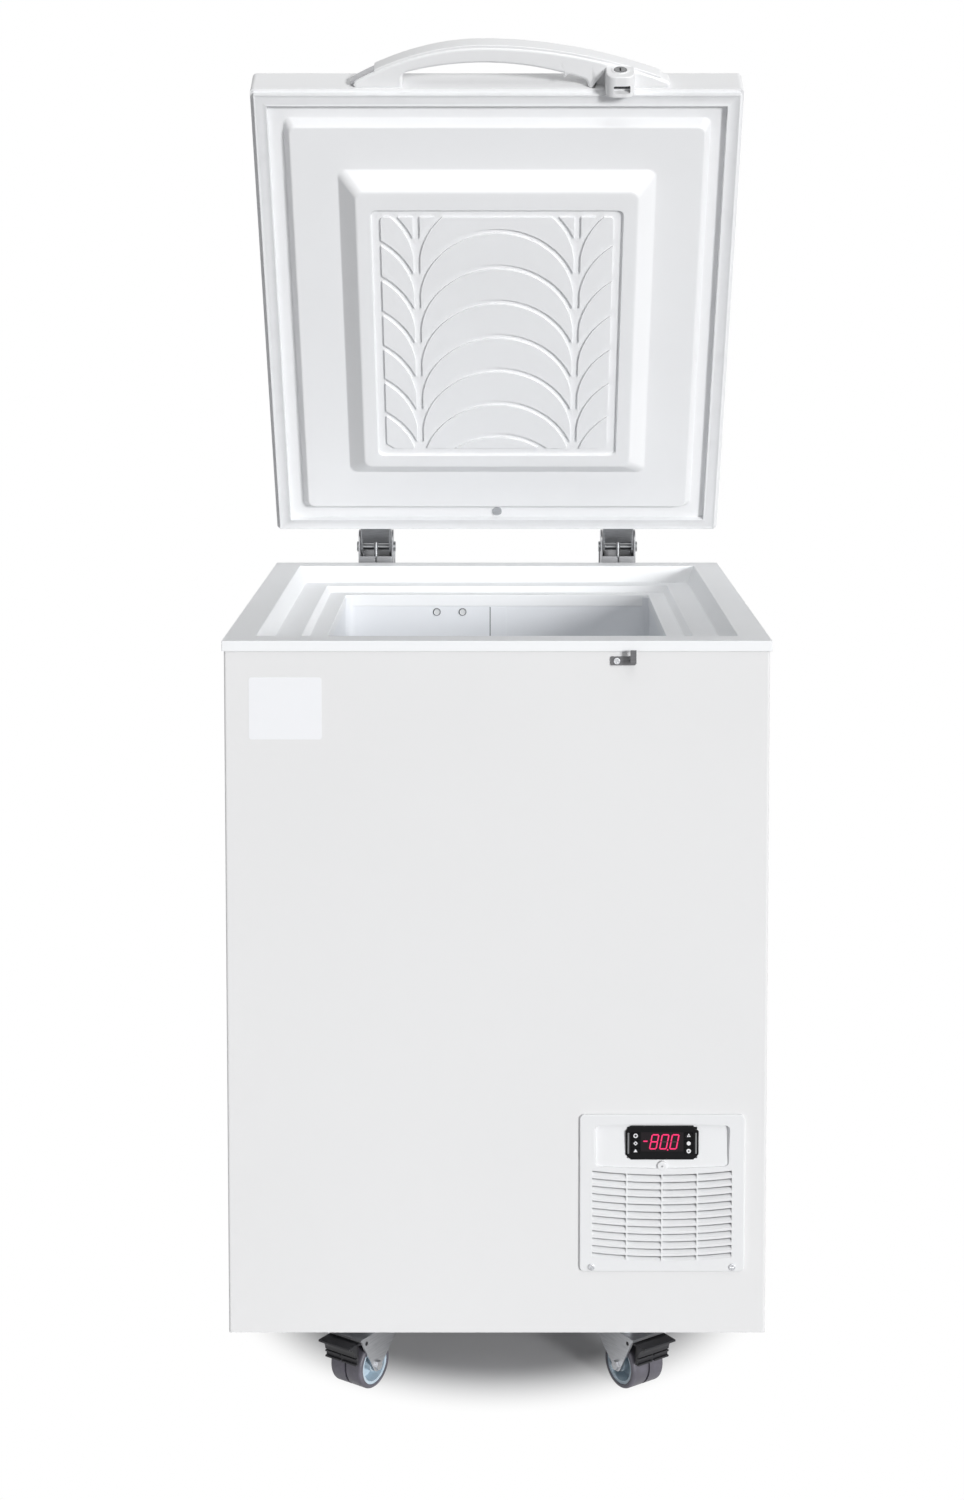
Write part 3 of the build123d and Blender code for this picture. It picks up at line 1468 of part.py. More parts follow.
def castor_brake(plane):
    """Brake cover over the tread, with its pivot pin and a lip to press."""
    with BuildPart() as brake:
        with BuildSketch(castor_side(plane, brake_half_width)):
            Polygon(
                (brake_pivot_x - brake_reach, brake_top - brake_sheet),
                (brake_front, brake_top - brake_sheet),
                (brake_front, brake_low + brake_sheet),
                (brake_front, brake_low),
                (brake_front + brake_lip, brake_low),
                (brake_front + brake_lip, brake_low + brake_sheet),
                (brake_front + brake_sheet, brake_low + brake_sheet),
                (brake_front + brake_sheet, brake_top - brake_sheet),
                (brake_front, brake_top),
                (brake_pivot_x - brake_reach, brake_top),
                align=None,
            )
        extrude(amount=2 * brake_half_width)
        with BuildSketch(castor_side(plane, leg_outer)):
            with Locations((brake_pivot_x, brake_pivot_z)):
                Circle(brake_pin_radius)
        extrude(amount=2 * leg_outer)
    return brake


for name, place in zip(castor_names, castor_places):
    plane = castor_plane(place)
    braked = place[1] < 0
    save(castor_fork(plane, braked), f"castor_fork_{name}")
    save(castor_hub(plane), f"castor_hub_{name}")
    save(castor_tyre(plane), f"castor_tyre_{name}")
    if braked:
        save(castor_brake(plane), f"castor_brake_{name}")
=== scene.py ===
import json
from math import atan2, cos, pi, radians, sin

import bmesh
import bpy
from mathutils import Matrix, Vector


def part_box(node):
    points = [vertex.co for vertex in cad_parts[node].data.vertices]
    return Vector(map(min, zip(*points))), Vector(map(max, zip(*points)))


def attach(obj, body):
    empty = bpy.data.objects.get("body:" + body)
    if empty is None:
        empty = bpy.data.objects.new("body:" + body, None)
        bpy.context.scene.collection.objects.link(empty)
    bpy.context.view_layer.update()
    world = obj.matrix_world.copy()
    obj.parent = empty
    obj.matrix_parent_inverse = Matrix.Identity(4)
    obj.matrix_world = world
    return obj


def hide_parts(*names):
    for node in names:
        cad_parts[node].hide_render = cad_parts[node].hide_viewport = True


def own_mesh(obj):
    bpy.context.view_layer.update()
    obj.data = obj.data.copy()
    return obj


# A small chest ultra low temperature freezer on four castors, with its lid open.
# Metres. Z is up and the front faces -Y, as in the frame.

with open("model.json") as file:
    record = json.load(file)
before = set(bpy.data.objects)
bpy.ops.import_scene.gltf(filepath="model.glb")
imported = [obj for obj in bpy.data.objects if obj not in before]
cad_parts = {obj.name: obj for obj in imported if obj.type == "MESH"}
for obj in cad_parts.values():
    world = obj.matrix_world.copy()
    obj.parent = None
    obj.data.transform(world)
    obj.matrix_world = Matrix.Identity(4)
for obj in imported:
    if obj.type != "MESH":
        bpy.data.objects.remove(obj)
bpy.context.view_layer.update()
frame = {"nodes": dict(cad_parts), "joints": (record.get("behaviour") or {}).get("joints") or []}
nodes = frame["nodes"]
mm = 0.001
small_edge = 0.6 * mm
fine_edge = 0.5 * mm
sheet_edge = 0.4 * mm
thin_edge = 0.3 * mm

# Places read from the frame
rim_low, rim_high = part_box("rim_collar")
tank_low, tank_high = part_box("inner_tank")
panel_low, panel_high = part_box("front_grille")
bezel_low, bezel_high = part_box("controller_bezel")
hinge = next(joint for joint in frame["joints"] if joint["name"] == "lid_hinge")
hinge_at = Vector(hinge["pos_m"])
lid_turn = radians(hinge["range_deg"][0])
lid_place = Matrix.Translation(hinge_at) @ Matrix.Rotation(lid_turn, 4, "X")

# Camera, set close to the one that took the photograph: its tilt in degrees, its lens in millimetres
camera_distance = 2.698
camera_height = 1.181
camera_tilt = 3.99
camera_lens = 57.45
camera_shift_x = -0.01
camera_shift_y = -0.22

# Rim collar: inset and rise of each line, from its outer edge and its top
collar_steps = [
    (32 * mm, 0),
    (8 * mm, -20 * mm),
    (28 * mm, 0),
    (5 * mm, -8 * mm),
    (19.8 * mm, 0),
    (0, -14 * mm),
]
collar_band = 11 * mm
collar_wall = 2.5 * mm
collar_edge = 1.6 * mm

# Tank: the cover over the seam in its back wall, and the caps over its probe wells, with dark strips and
# rings as painted shadow at their edges
tank_back = 214 * mm
seam_low = (-7.9 * mm, 213.5 * mm, 477 * mm)
seam_high = (11.3 * mm, 215 * mm, 748 * mm)
seam_edge = 0.25 * mm
seam_line = 1.1 * mm
shadow_strip_sunk = 0.2 * mm
probe_places = (-73.75 * mm, -42.25 * mm)
probe_level = 742 * mm
cap_radius = 3.6 * mm
cap_tall = 2 * mm
cap_rim = 0.9 * mm
cap_dish = 0.7 * mm
cap_edge = 0.2 * mm
ring_radius = 4 * mm
ring_wire = 0.8 * mm

# Lid, in the lid's own lines: y runs back and z up as if it were closed
lid_front = -649 * mm
lid_back = -35 * mm
lid_middle = (lid_front + lid_back) / 2
lid_half = 278 * mm
lid_low = -8 * mm
liner_inset = 2.5 * mm
liner_wall = 2 * mm
liner_edge = 1.8 * mm
liner_corner = 8 * mm
liner_steps = [
    (33.5 * mm, 0),
    (6 * mm, -12 * mm),
    (54 * mm, 0),
    (20 * mm, -18 * mm),
]
plug_low = -38 * mm
recess_side = 17 * mm
recess_front = 24 * mm
recess_depth = 4 * mm
recess_least = 0.03

# Raised panels on the liner's recessed face, with straight and arched grooves between them
relief_half = 134 * mm
relief_front = 149 * mm
relief_rear = 471 * mm
relief_tall = 3 * mm
relief_sunk = 0.5 * mm
relief_edge = 0.8 * mm
column_at = 93 * mm
column_groove = 8 * mm
arch_radius = 96 * mm
arch_groove = 6.5 * mm
arch_pitch = 47.5 * mm
arch_first = 116.5 * mm
arch_count = 8

# Gasket round the lid's underside
gasket_inset = 4 * mm
gasket_width = 14.5 * mm
gasket_tall = 7.7 * mm
gasket_groove = 1.4 * mm
gasket_edge = 0.9 * mm
mitre_cut = 0.5 * mm
mitre_deep = 0.6 * mm
mitre_reach = 100 * mm

# Front panel
front_sheet = -304 * mm
panel_middle = 169 * mm
panel_body = 9 * mm
panel_border = 9 * mm
panel_wall = 3 * mm
panel_corner = 5 * mm
panel_edge = 1.3 * mm
scoop_half = 71.35 * mm
scoop_top = 290.5 * mm
scoop_low = 248.5 * mm
scoop_depth = 5 * mm
scoop_proud = 5 * mm
scoop_floor_share = 0.94
scoop_fade = 3 * mm
scoop_corner = 4 * mm
scoop_arch = 2.4 * mm
controller_room = (36 * mm, 16 * mm)
louvre_rows = 12
louvre_columns = 4
louvre_pitch = 7.8 * mm
louvre_tall = 5.4 * mm
louvre_slit = 2.3 * mm
louvre_deep = 3.2 * mm
louvre_span = 143 * mm
louvre_rib = 1.6 * mm
louvre_sag = 4.2 * mm
louvre_first = 243.9 * mm
boss_radius = 5.1 * mm
boss_tall = 5.4 * mm
boss_sunk = 2.4 * mm
boss_edge = 1.2 * mm
boss_hole_radius = 1.1 * mm
boss_hole_deep = 8 * mm

# Screw heads on the front, with crossed slots, and the keeper's screw
head_radius = 3.4 * mm
head_tall = 1.6 * mm
head_sunk = 2 * mm
head_slot = 1.1 * mm
head_slot_deep = 1.1 * mm
head_slot_reach = 0.72
head_turn = radians(20)
screw_side = 72.2 * mm
screw_level = 142.7 * mm
keeper_screw = (120.95 * mm, 770.4 * mm)
keeper_sheet = 1.5 * mm

# Near-black sheet behind the louvres, a painted shade in their slits
shade_sheet_gap = 1.2 * mm
shade_sheet_thick = 2 * mm
shade_sheet_border = 3 * mm
shade_sheet_dish = 0.6 * mm

# Handle on the lid's front: how far its outer and inner lines stand from the lid
handle_ends = (-162 * mm, 195 * mm)
handle_levels = (-6 * mm, 16 * mm)
handle_crown = -15 * mm
handle_reach = 49.5 * mm
handle_round = 4 * mm
fall_left = 1.99
fall_right = 0.966
grip_ends = (-106 * mm, 102 * mm)
grip_reach = 30 * mm
grip_sunk = 5 * mm
grip_fall = 1.57
grip_round = 6 * mm
cover_ends = (-138 * mm, 184 * mm)
cover_levels = (-4.5 * mm, 14.5 * mm)
cover_proud = 2.3 * mm
cover_sunk = 3 * mm
cover_edge = 1 * mm
strap_ends = (-165 * mm, -137 * mm)
strap_levels = (-3 * mm, 9 * mm)
strap_proud = 1.6 * mm
strap_sunk = 2 * mm
strap_least = 3 * mm

# Lock's housing at the handle's right foot
lock_at = 137.5 * mm
lock_level = -14 * mm
lock_radius = 7 * mm
housing_half = 16 * mm
housing_reach = 26 * mm
housing_low = -32 * mm
housing_round = 11 * mm
housing_edge = 1.5 * mm
housing_sunk = 2 * mm
bore_radius = lock_radius + 0.4 * mm
bore_deep = 12 * mm
lock_collar_radius = lock_radius + 3 * mm
lock_collar_thick = 1.6 * mm
hook_slot_at = (139.3 * mm, 9.8 * mm)
hook_slot_half = (9.3 * mm, 4.75 * mm)
hook_slot_deep = 10 * mm
hook_slot_corner = 1.6 * mm
# Near-black plate in the hook's slot, a painted shade
slot_shade_levels = (-23 * mm, -21.6 * mm)
slot_shade_back = 7.2 * mm
recess_ends = (107 * mm, 121 * mm)
recess_reach = 21 * mm
recess_deep = 9 * mm
recess_gap = 0.5 * mm

# Hinges: the plates between their cheeks and the guard behind each
hinge_places = (-154 * mm, 154 * mm)
arm_half = 17.2 * mm
arm_reach = (-34.8 * mm, -13.5 * mm)
arm_level = -9 * mm
sheet_thick = 1.6 * mm
web_border = 2.5 * mm
web_dish = 0.5 * mm
foot_half = 20.2 * mm
foot_at = 328 * mm
foot_levels = (762 * mm, 796 * mm)
foot_split = 0.9 * mm
guard_half = 23.6 * mm
guard_depths = (352.1 * mm, 359.6 * mm)
guard_levels = (772 * mm, 813 * mm)
guard_corner = 4 * mm

# Front castor brakes, measured along the castor from its kingpin
castor_at = (132 * mm, 248 * mm)
castor_turn = radians(35)
brake_half = 20.3 * mm
brake_back = 34 * mm
brake_front = 50.8 * mm
brake_sheet = 3 * mm
brake_low = 35 * mm
brake_top = 57.5 * mm
brake_reach = 64 * mm
brake_hollow_at = (64.5 * mm, 0, 43.6 * mm)
brake_hollow_radius = 11.6 * mm
brake_ribs = ((35 * mm, 37 * mm), (40.6 * mm, 42.6 * mm))
brake_rib_reach = 53 * mm
brake_split = 1.2 * mm
brake_edge = 0.6 * mm
brake_pin_at = (38 * mm, 0, 54.5 * mm)
brake_pin_radius = 2 * mm
brake_pin_half = 23 * mm

# Springs under the lid arms' lever pins: each a coil, a cap and a push rod
spring_deep = 333.4 * mm
spring_radius = 8 * mm
spring_wire = 1.2 * mm
spring_levels = (627.4 * mm, 773.6 * mm)
spring_turns = 11
spring_sides = 24
spring_cap = (9.2 * mm, 775 * mm, 779 * mm)
spring_rod = (2.5 * mm, 775 * mm, 813.2 * mm)

# Controller: its frame, the bars of its display and its keys
bezel_corner = 5.5 * mm
bezel_rim = 3.5 * mm
bezel_wall = 3 * mm
bezel_edge = 0.9 * mm
ridge_at = 34.6 * mm
ridge_half = 11 * mm
ridge_wide = 1.8 * mm
ridge_proud = 0.8 * mm
digit_tall = 16 * mm
digit_wide = 8 * mm
digit_lean = 0.19
digit_bar = 1.3 * mm
digit_middles = (160.9 * mm, 171.2 * mm, 181.5 * mm)
digit_level = 273.6 * mm
minus_at = (151.9 * mm, 274.2 * mm)
point_at = (174.6 * mm, 265.2 * mm)
point_radius = 0.8 * mm
minus_wide = 4.6 * mm
bar_gap = 0.35 * mm
bar_proud = 0.12 * mm
mark_radius = 2.3 * mm
key_numbers = range(1, 7)
key_gap = 0.3 * mm
key_travel = 1.1 * mm
bezel_middle = 272.1 * mm

# Blank label on the front
label_low = (-250.9 * mm, 690 * mm)
label_high = (-177.3 * mm, 753.3 * mm)
label_proud = 0.2 * mm
label_sunk = 0.3 * mm
label_corner = 2.5 * mm


# Finishes


class Field:
    """A number or colour that changes over a surface, with Python's arithmetic."""

    def __init__(self, finish, socket):
        self.finish = finish
        self.socket = socket

    def maths(self, operation, first, second):
        """The result of one sum on two fields or numbers."""
        return self.finish.node("ShaderNodeMath", {"operation": operation}, {0: first, 1: second})

    def __add__(self, other):
        return self.maths("ADD", self, other)

    def __radd__(self, other):
        return self.maths("ADD", other, self)

    def __sub__(self, other):
        return self.maths("SUBTRACT", self, other)

    def __mul__(self, other):
        return self.maths("MULTIPLY", self, other)

    def __rmul__(self, other):
        return self.maths("MULTIPLY", other, self)

    def __truediv__(self, other):
        return self.maths("DIVIDE", self, other)

    def __pow__(self, other):
        return self.maths("POWER", self, other)


class Finish:
    """A material in the making: its shader, and the nodes that vary it."""

    def __init__(self, name, colour, roughness, metallic=0.0, **constants):
        self.material = bpy.data.materials.new(name)
        self.material.use_nodes = True
        self.tree = self.material.node_tree
        self.shader = self.tree.nodes["Principled BSDF"]
        self.colour = (*colour, 1.0)
        self.feed("Base Color", self.colour)
        self.feed("Roughness", roughness)
        self.feed("Metallic", metallic)
        for socket, value in constants.items():
            self.feed(socket.replace("_", " ").title().replace("Ior", "IOR"), value)
        self.place = self.node("ShaderNodeTexCoord", output="Object")

    def node(self, kind, settings=None, values=None, output=0):
        """Adds a node: its settings first, then the values or links of its sockets."""
        made = self.tree.nodes.new(kind)
        for name, value in (settings or {}).items():
            if name == "stops":
                for stop, (at, colour) in zip(made.color_ramp.elements, value):
                    stop.position = at
                    stop.color = colour
            else:
                setattr(made, name, value)
        for key, value in (values or {}).items():
            if isinstance(value, Field):
                self.tree.links.new(value.socket, made.inputs[key])
            else:
                made.inputs[key].default_value = value
        return Field(self, made.outputs[output])

    def feed(self, socket, value):
        """Sets a socket of the shader, or links a field to it."""
        if isinstance(value, Field):
            self.tree.links.new(value.socket, self.shader.inputs[socket])
        else:
            self.shader.inputs[socket].default_value = value

    def stretched(self, across, deep, up):
        """The surface's place with each axis scaled, for brushed and drawn marks."""
        return self.node("ShaderNodeMapping", {}, {"Vector": self.place, "Scale": (across, deep, up)})

    def noise(self, scale, detail=2.0, place=None):
        """Cloudy noise, over the surface's place or a stretched one."""
        values = {"Vector": place or self.place, "Scale": scale, "Detail": detail}
        return self.node("ShaderNodeTexNoise", {}, values)

    def cells(self, scale):
        """Distance from the middle of each cell, for foam and crystals."""
        return self.node("ShaderNodeTexVoronoi", {}, {"Vector": self.place, "Scale": scale}, "Distance")

    def axis(self, name):
        """One coordinate of the surface's place."""
        return self.node("ShaderNodeSeparateXYZ", {}, {"Vector": self.place}, name)

    def ramp(self, factor, low, high):
        """0 below low, 1 above high, smooth between."""
        values = {"Value": factor, "From Min": low, "From Max": high}
        return self.node("ShaderNodeMapRange", {"interpolation_type": "SMOOTHSTEP"}, values, "Result")

    def blend(self, factor, first, second):
        """A colour between two colours."""
        return self.node("ShaderNodeMix", {"data_type": "RGBA"}, {0: factor, 6: first, 7: second}, 2)

    def tint(self, factor, shade):
        """The base colour, moved towards a shade of itself by a factor."""
        darker = tuple(part * shade for part in self.colour[:3]) + (1.0,)
        self.feed("Base Color", self.blend(factor, self.colour, darker))

    def bump(self, height, depth):
        """Relief of a given depth in metres."""
        values = {"Strength": 1.0, "Distance": depth, "Height": height}
        self.feed("Normal", self.node("ShaderNodeBump", {}, values, "Normal"))


def sheet_paint(name, colour, roughness):
    """Sprayed enamel on sheet steel: a fine orange peel and the faintest cloudiness."""
    paint = Finish(name, colour, roughness, coat_weight=0.15, coat_roughness=0.2)
    paint.tint(paint.ramp(paint.noise(3.0, 3.0), 0.35, 0.75), 0.985)
    paint.feed("Roughness", roughness - 0.03 + 0.06 * paint.noise(14.0, 2.0))
    paint.bump(paint.noise(420.0, 1.0), 0.00001)
    return paint.material


def moulded(name, colour, roughness, grain=900.0, depth=0.000004, shade=0.98, shine=0.5):
    """Injection-moulded or drawn plastic: a very fine grain and slight flow shading."""
    plastic = Finish(name, colour, roughness, specular_ior_level=shine)
    plastic.tint(plastic.ramp(plastic.noise(5.0, 2.0), 0.4, 0.8), shade)
    plastic.feed("Roughness", roughness - 0.03 + 0.06 * plastic.noise(25.0, 2.0))
    plastic.bump(plastic.noise(grain, 2.0), depth)
    return plastic.material


def zinc_plate(name, colour, roughness):
    """Passivated zinc: cloudy crystals, rolling marks and a cool tint."""
    zinc = Finish(name, colour, roughness, 1.0)
    crystals = zinc.cells(160.0)
    marks = zinc.noise(60.0, 3.0, zinc.stretched(1.0, 1.0, 14.0))
    zinc.tint(zinc.ramp(marks, 0.3, 0.8), 0.8)
    zinc.feed("Roughness", roughness - 0.08 + 0.12 * marks + 0.06 * crystals)
    zinc.bump(marks + 0.3 * crystals, 0.00003)
    return zinc.material


def drawn_metal(name, colour, roughness, across=1.0, deep=1.0, up=1.0):
    """Bare metal with fine marks along the way it was drawn or rolled."""
    metal = Finish(name, colour, roughness, 1.0)
    marks = metal.noise(90.0, 3.0, metal.stretched(across, deep, up))
    metal.tint(metal.ramp(marks, 0.35, 0.75), 0.82)
    metal.feed("Roughness", roughness - 0.07 + 0.14 * marks)
    metal.bump(marks, 0.00002)
    return metal.material


def rubber_like(name, colour, roughness):
    """Vinyl or rubber: a dull skin with dust in its grain."""
    skin = Finish(name, colour, roughness)
    dust = skin.ramp(skin.noise(40.0, 2.0), 0.45, 0.8)
    skin.tint(dust, 0.96)
    skin.feed("Roughness", roughness - 0.03 + 0.06 * skin.noise(60.0, 2.0))
    skin.bump(skin.noise(1400.0, 2.0), 0.00001)
    return skin.material


def foam_core(name, colour):
    """Rigid foam: small cells with darker skins."""
    foam = Finish(name, colour, 0.9)
    cells = foam.cells(500.0)
    foam.tint(foam.ramp(cells, 0.1, 0.7), 0.88)
    foam.bump(cells, 0.0004)
    return foam.material


def tank_sheet(name, colour):
    """Painted aluminium sheet of the tank: satin, with a painted shade that darkens it in cloudy patches
    towards the floor, where it is also more matte.
    """
    sheet = Finish(name, colour, 0.36)
    height = sheet.axis("Z")
    floor_shade_and_matte = sheet.ramp(height, tank_high.z, tank_low.z) * sheet.noise(30.0, 4.0)
    # Painted shade: the sheet is darker towards the tank's floor.
    sheet.tint(floor_shade_and_matte, 0.93)
    sheet.feed("Roughness", 0.32 + 0.2 * floor_shade_and_matte)
    sheet.bump(sheet.noise(300.0, 2.0), 0.00003)
    return sheet.material


def tyre_tread(name, colour):
    """Hard tyre rubber: grey with a violet cast, dusty on its tread."""
    tyre = Finish(name, colour, 0.5)
    dust = tyre.ramp(tyre.noise(90.0, 4.0), 0.4, 0.75)
    tyre.tint(dust, 1.35)
    tyre.feed("Roughness", 0.42 + 0.2 * dust)
    tyre.bump(tyre.noise(1600.0, 3.0), 0.00006)
    return tyre.material


def glowing(name, colour, strength):
    """A lit segment behind its lens, its red mixed a little with a paler pink in fine noise."""
    glow = Finish(name, (0.02, 0.0, 0.005), 0.3)
    spread = 0.9 + 0.2 * glow.noise(900.0, 1.0)
    glow.feed("Emission Color", glow.blend(spread - 0.9, (*colour, 1.0), (1.0, 0.2, 0.35, 1.0)))
    glow.feed("Emission Strength", strength)
    return glow.material


def smoked_lens(name):
    """The display's dark lens: glossy, with a faint red depth."""
    lens = Finish(name, (0.014, 0.011, 0.013), 0.12, specular_ior_level=0.12)
    lens.tint(lens.noise(700.0, 2.0), 1.4)
    lens.feed("Roughness", 0.1 + 0.05 * lens.noise(150.0, 2.0))
    return lens.material


paint_white = sheet_paint("white_enamel", (0.785, 0.785, 0.788), 0.34)
collar_plastic = moulded("collar_plastic", (0.88, 0.892, 0.905), 0.45)
# The liner's white is set paler than the other white plastics: painted light that makes up for the key light
# the open lid faces away from.
liner_plastic = moulded("liner_plastic", (0.925, 0.93, 0.94), 0.36, 700.0)
shell_plastic = moulded("shell_plastic", (0.89, 0.893, 0.9), 0.34)
panel_plastic = moulded("panel_plastic", (0.79, 0.796, 0.806), 0.4, 1100.0)
handle_plastic = moulded("handle_plastic", (0.89, 0.894, 0.9), 0.34)
gasket_vinyl = rubber_like("gasket_vinyl", (0.86, 0.868, 0.88), 0.5)
cap_plastic = moulded("cap_plastic", (0.7, 0.71, 0.72), 0.42)
# Grey on the black frame's side ridges: a painted highlight for the glint off their rounded edges.
ridge_painted_highlight = moulded("ridge_painted_highlight", (0.2, 0.205, 0.21), 0.3)
# A dark finish for thin strips and rings: painted shadow along the seam cover and round the caps.
painted_shadow_dark = rubber_like("painted_shadow_dark", (0.2, 0.21, 0.22), 0.6)
box_plastic = moulded("box_plastic", (0.72, 0.72, 0.69), 0.5)
hub_plastic = moulded("hub_plastic", (0.55, 0.66, 0.74), 0.32, 800.0, 0.00001, 0.86)
black_plastic = moulded("black_plastic", (0.006, 0.006, 0.007), 0.2, 1000.0, 0.000002, 1.5, 0.12)
brake_plastic = moulded("brake_plastic", (0.02, 0.02, 0.023), 0.42, 900.0, 0.00002, 1.5, 0.35)
fan_plastic = moulded("fan_plastic", (0.03, 0.03, 0.033), 0.38, 700.0, 0.00001, 1.4)
icon_print = moulded("icon_print", (0.8, 0.8, 0.82), 0.45)
label_film = moulded("label_film", (0.86, 0.868, 0.89), 0.32, 300.0, 0.000002, 0.99)
# Near black for plates put behind slots: painted shade in the lock's hook slot and behind the louvres.
painted_shade_black = moulded("painted_shade_black", (0.06, 0.06, 0.065), 0.6)
compressor_enamel = sheet_paint("compressor_enamel", (0.012, 0.012, 0.014), 0.3)
motor_metal = drawn_metal("motor_metal", (0.28, 0.29, 0.3), 0.42)
zinc_steel = zinc_plate("zinc_steel", (0.62, 0.63, 0.65), 0.34)
hinge_steel = drawn_metal("hinge_steel", (0.48, 0.485, 0.5), 0.36, 1.0, 1.0, 12.0)
# The keeper's zinc is made nearly black, far darker than the other zinc: painted shade on the keeper.
keeper_zinc_painted_shade = zinc_plate("keeper_zinc_painted_shade", (0.14, 0.14, 0.145), 0.46)
spring_steel = drawn_metal("spring_steel", (0.4, 0.41, 0.42), 0.32)
lock_chrome = drawn_metal("lock_chrome", (0.26, 0.265, 0.27), 0.22, 12.0, 1.0, 1.0)
fin_aluminium = drawn_metal("fin_aluminium", (0.75, 0.76, 0.77), 0.38, 1.0, 1.0, 10.0)
copper_tube = drawn_metal("copper_tube", (0.72, 0.36, 0.22), 0.3)
rubber_black = rubber_like("rubber_black", (0.022, 0.022, 0.024), 0.62)
tyre_rubber = tyre_tread("tyre_rubber", (0.1, 0.095, 0.115))
foam_cream = foam_core("foam_cream", (0.82, 0.74, 0.5))
tank_white = tank_sheet("tank_white", (0.82, 0.84, 0.87))
lens_smoke = smoked_lens("lens_smoke")
segment_lit = glowing("segment_lit", (1.0, 0.0, 0.14), 1.15)
segment_off = moulded("segment_off", (0.03, 0.012, 0.016), 0.3)

castors = ("front_left", "front_right", "rear_left", "rear_right")
node_finishes = {
    paint_white: "outer_wrap rear_panel rear_cover base_pan",
    collar_plastic: "rim_collar",
    liner_plastic: "lid_liner",
    shell_plastic: "lid_outer_shell",
    panel_plastic: "front_grille",
    handle_plastic: "handle handle_cover",
    gasket_vinyl: "lid_gasket",
    tank_white: "inner_tank",
    cap_plastic: "tank_caps",
    foam_cream: "insulation_foam lid_foam",
    copper_tube: "evaporator_coil refrigerant_lines filter_drier",
    compressor_enamel: "compressor",
    rubber_black: "compressor_feet",
    fin_aluminium: "condenser",
    motor_metal: "fan_motor",
    fan_plastic: "fan_blade",
    box_plastic: "electrical_box",
    black_plastic: "power_inlet controller_bezel",
    lens_smoke: "controller_display",
    hinge_steel: "hinge_brackets lid_hinge_arms",
    spring_steel: "hinge_springs hinge_pins",
    keeper_zinc_painted_shade: "keeper",
    lock_chrome: "lock_barrel",
    zinc_steel: "machine_deck castor_plates castor_bolts front_screws rear_screws lid_screws",
}


def coat(name, material):
    """Gives a CAD node its material."""
    nodes[name].data.materials.clear()
    nodes[name].data.materials.append(material)


for material, names in node_finishes.items():
    for name in names.split():
        coat(name, material)
for number in key_numbers:
    coat(f"controller_key_{number}", black_plastic)
castor_finishes = {"fork": zinc_steel, "hub": hub_plastic, "tyre": tyre_rubber, "brake": brake_plastic}
for castor in castors:
    for part, material in castor_finishes.items():
        name = f"castor_{part}_{castor}"
        if name in nodes:
            coat(name, material)


# Modelling


def deselect_all():
    """Leaves edit mode with nothing selected."""
    if bpy.context.object and bpy.context.object.mode == "EDIT":
        bpy.ops.object.mode_set(mode="OBJECT")
    bpy.ops.object.select_all(action="DESELECT")


def settle(name):
    """Names the new object and puts its place, turn and size into its mesh."""
    made = bpy.context.object
    made.name = name
    bpy.ops.object.transform_apply()
    return made


def block(name, low, high):
    """A box between two corners."""
    deselect_all()
    low = Vector(low)
    high = Vector(high)
    bpy.ops.mesh.primitive_cube_add(size=1, location=(low + high) / 2)
    bpy.context.object.scale = high - low
    return settle(name)


def plate(name, low, high, level):
    """A level rectangle between two corners."""
    deselect_all()
    middle = ((low[0] + high[0]) / 2, (low[1] + high[1]) / 2, level)
    bpy.ops.mesh.primitive_plane_add(size=1, location=middle)
    bpy.context.object.scale = (high[0] - low[0], high[1] - low[1], 1)
    return settle(name)


def disc(name, at, radius, tall, turn=(pi / 2, 0, 0), sides=48):
    """A round slug, facing the front unless it is turned."""
    deselect_all()
    bpy.ops.mesh.primitive_cylinder_add(
        vertices=sides, radius=radius, depth=tall, location=at, rotation=turn
    )
    return settle(name)


def choose(kind, test):
    """Selects in edit mode the vertices, edges or faces that pass a test."""
    bpy.ops.object.mode_set(mode="EDIT")
    bpy.ops.mesh.select_mode(type=kind)
    shape = bmesh.from_edit_mesh(bpy.context.object.data)
    parts = {"VERT": shape.verts, "EDGE": shape.edges, "FACE": shape.faces}[kind]
    chosen = [part for part in parts if test(part)]
    for group in (shape.verts, shape.edges, shape.faces):
        for part in group:
            part.select = False
    for part in chosen:
        part.select_set(True)
    shape.select_flush_mode()
    bmesh.update_edit_mesh(bpy.context.object.data)


def middle_of(part):
    """The middle of an edge or a face."""
    return sum((corner.co for corner in part.verts), Vector()) / len(part.verts)


def run_of(edge):
    """The direction that an edge runs in."""
    return (edge.verts[1].co - edge.verts[0].co).normalized()


def lies_at(part, axis, place):
    """Whether an edge or a face lies at one place along an axis."""
    return all(abs(getattr(corner.co, axis) - place) < 0.05 * mm for corner in part.verts)


def everything(part):
    """A test that every part passes."""
    return True


def running(axis):
    """A test for edges that run along an axis."""
    return lambda edge: abs(getattr(run_of(edge), axis)) > 0.9


def facing(direction):
    """A test for faces that look in a direction."""
    return lambda face: face.normal.dot(Vector(direction)) > 0.95


def move(across=0.0, deep=0.0, up=0.0):
    """Moves what is selected."""
    bpy.ops.transform.translate(value=(across, deep, up))


def inset(width):
    """Draws the border of the selected faces inwards."""
    bpy.ops.mesh.inset(thickness=width)


def bevel(width, segments):
    """Rounds or cuts off the selected edges."""
    bpy.ops.mesh.bevel(offset=width, segments=segments)


def orient():
    """Turns every face of the mesh outwards."""
    choose("FACE", everything)
    bpy.ops.mesh.normals_make_consistent()


def pull(across=0.0, deep=0.0, up=0.0):
    """Extrudes what is selected."""
    bpy.ops.mesh.extrude_region_move(TRANSFORM_OT_translate={"value": (across, deep, up)})


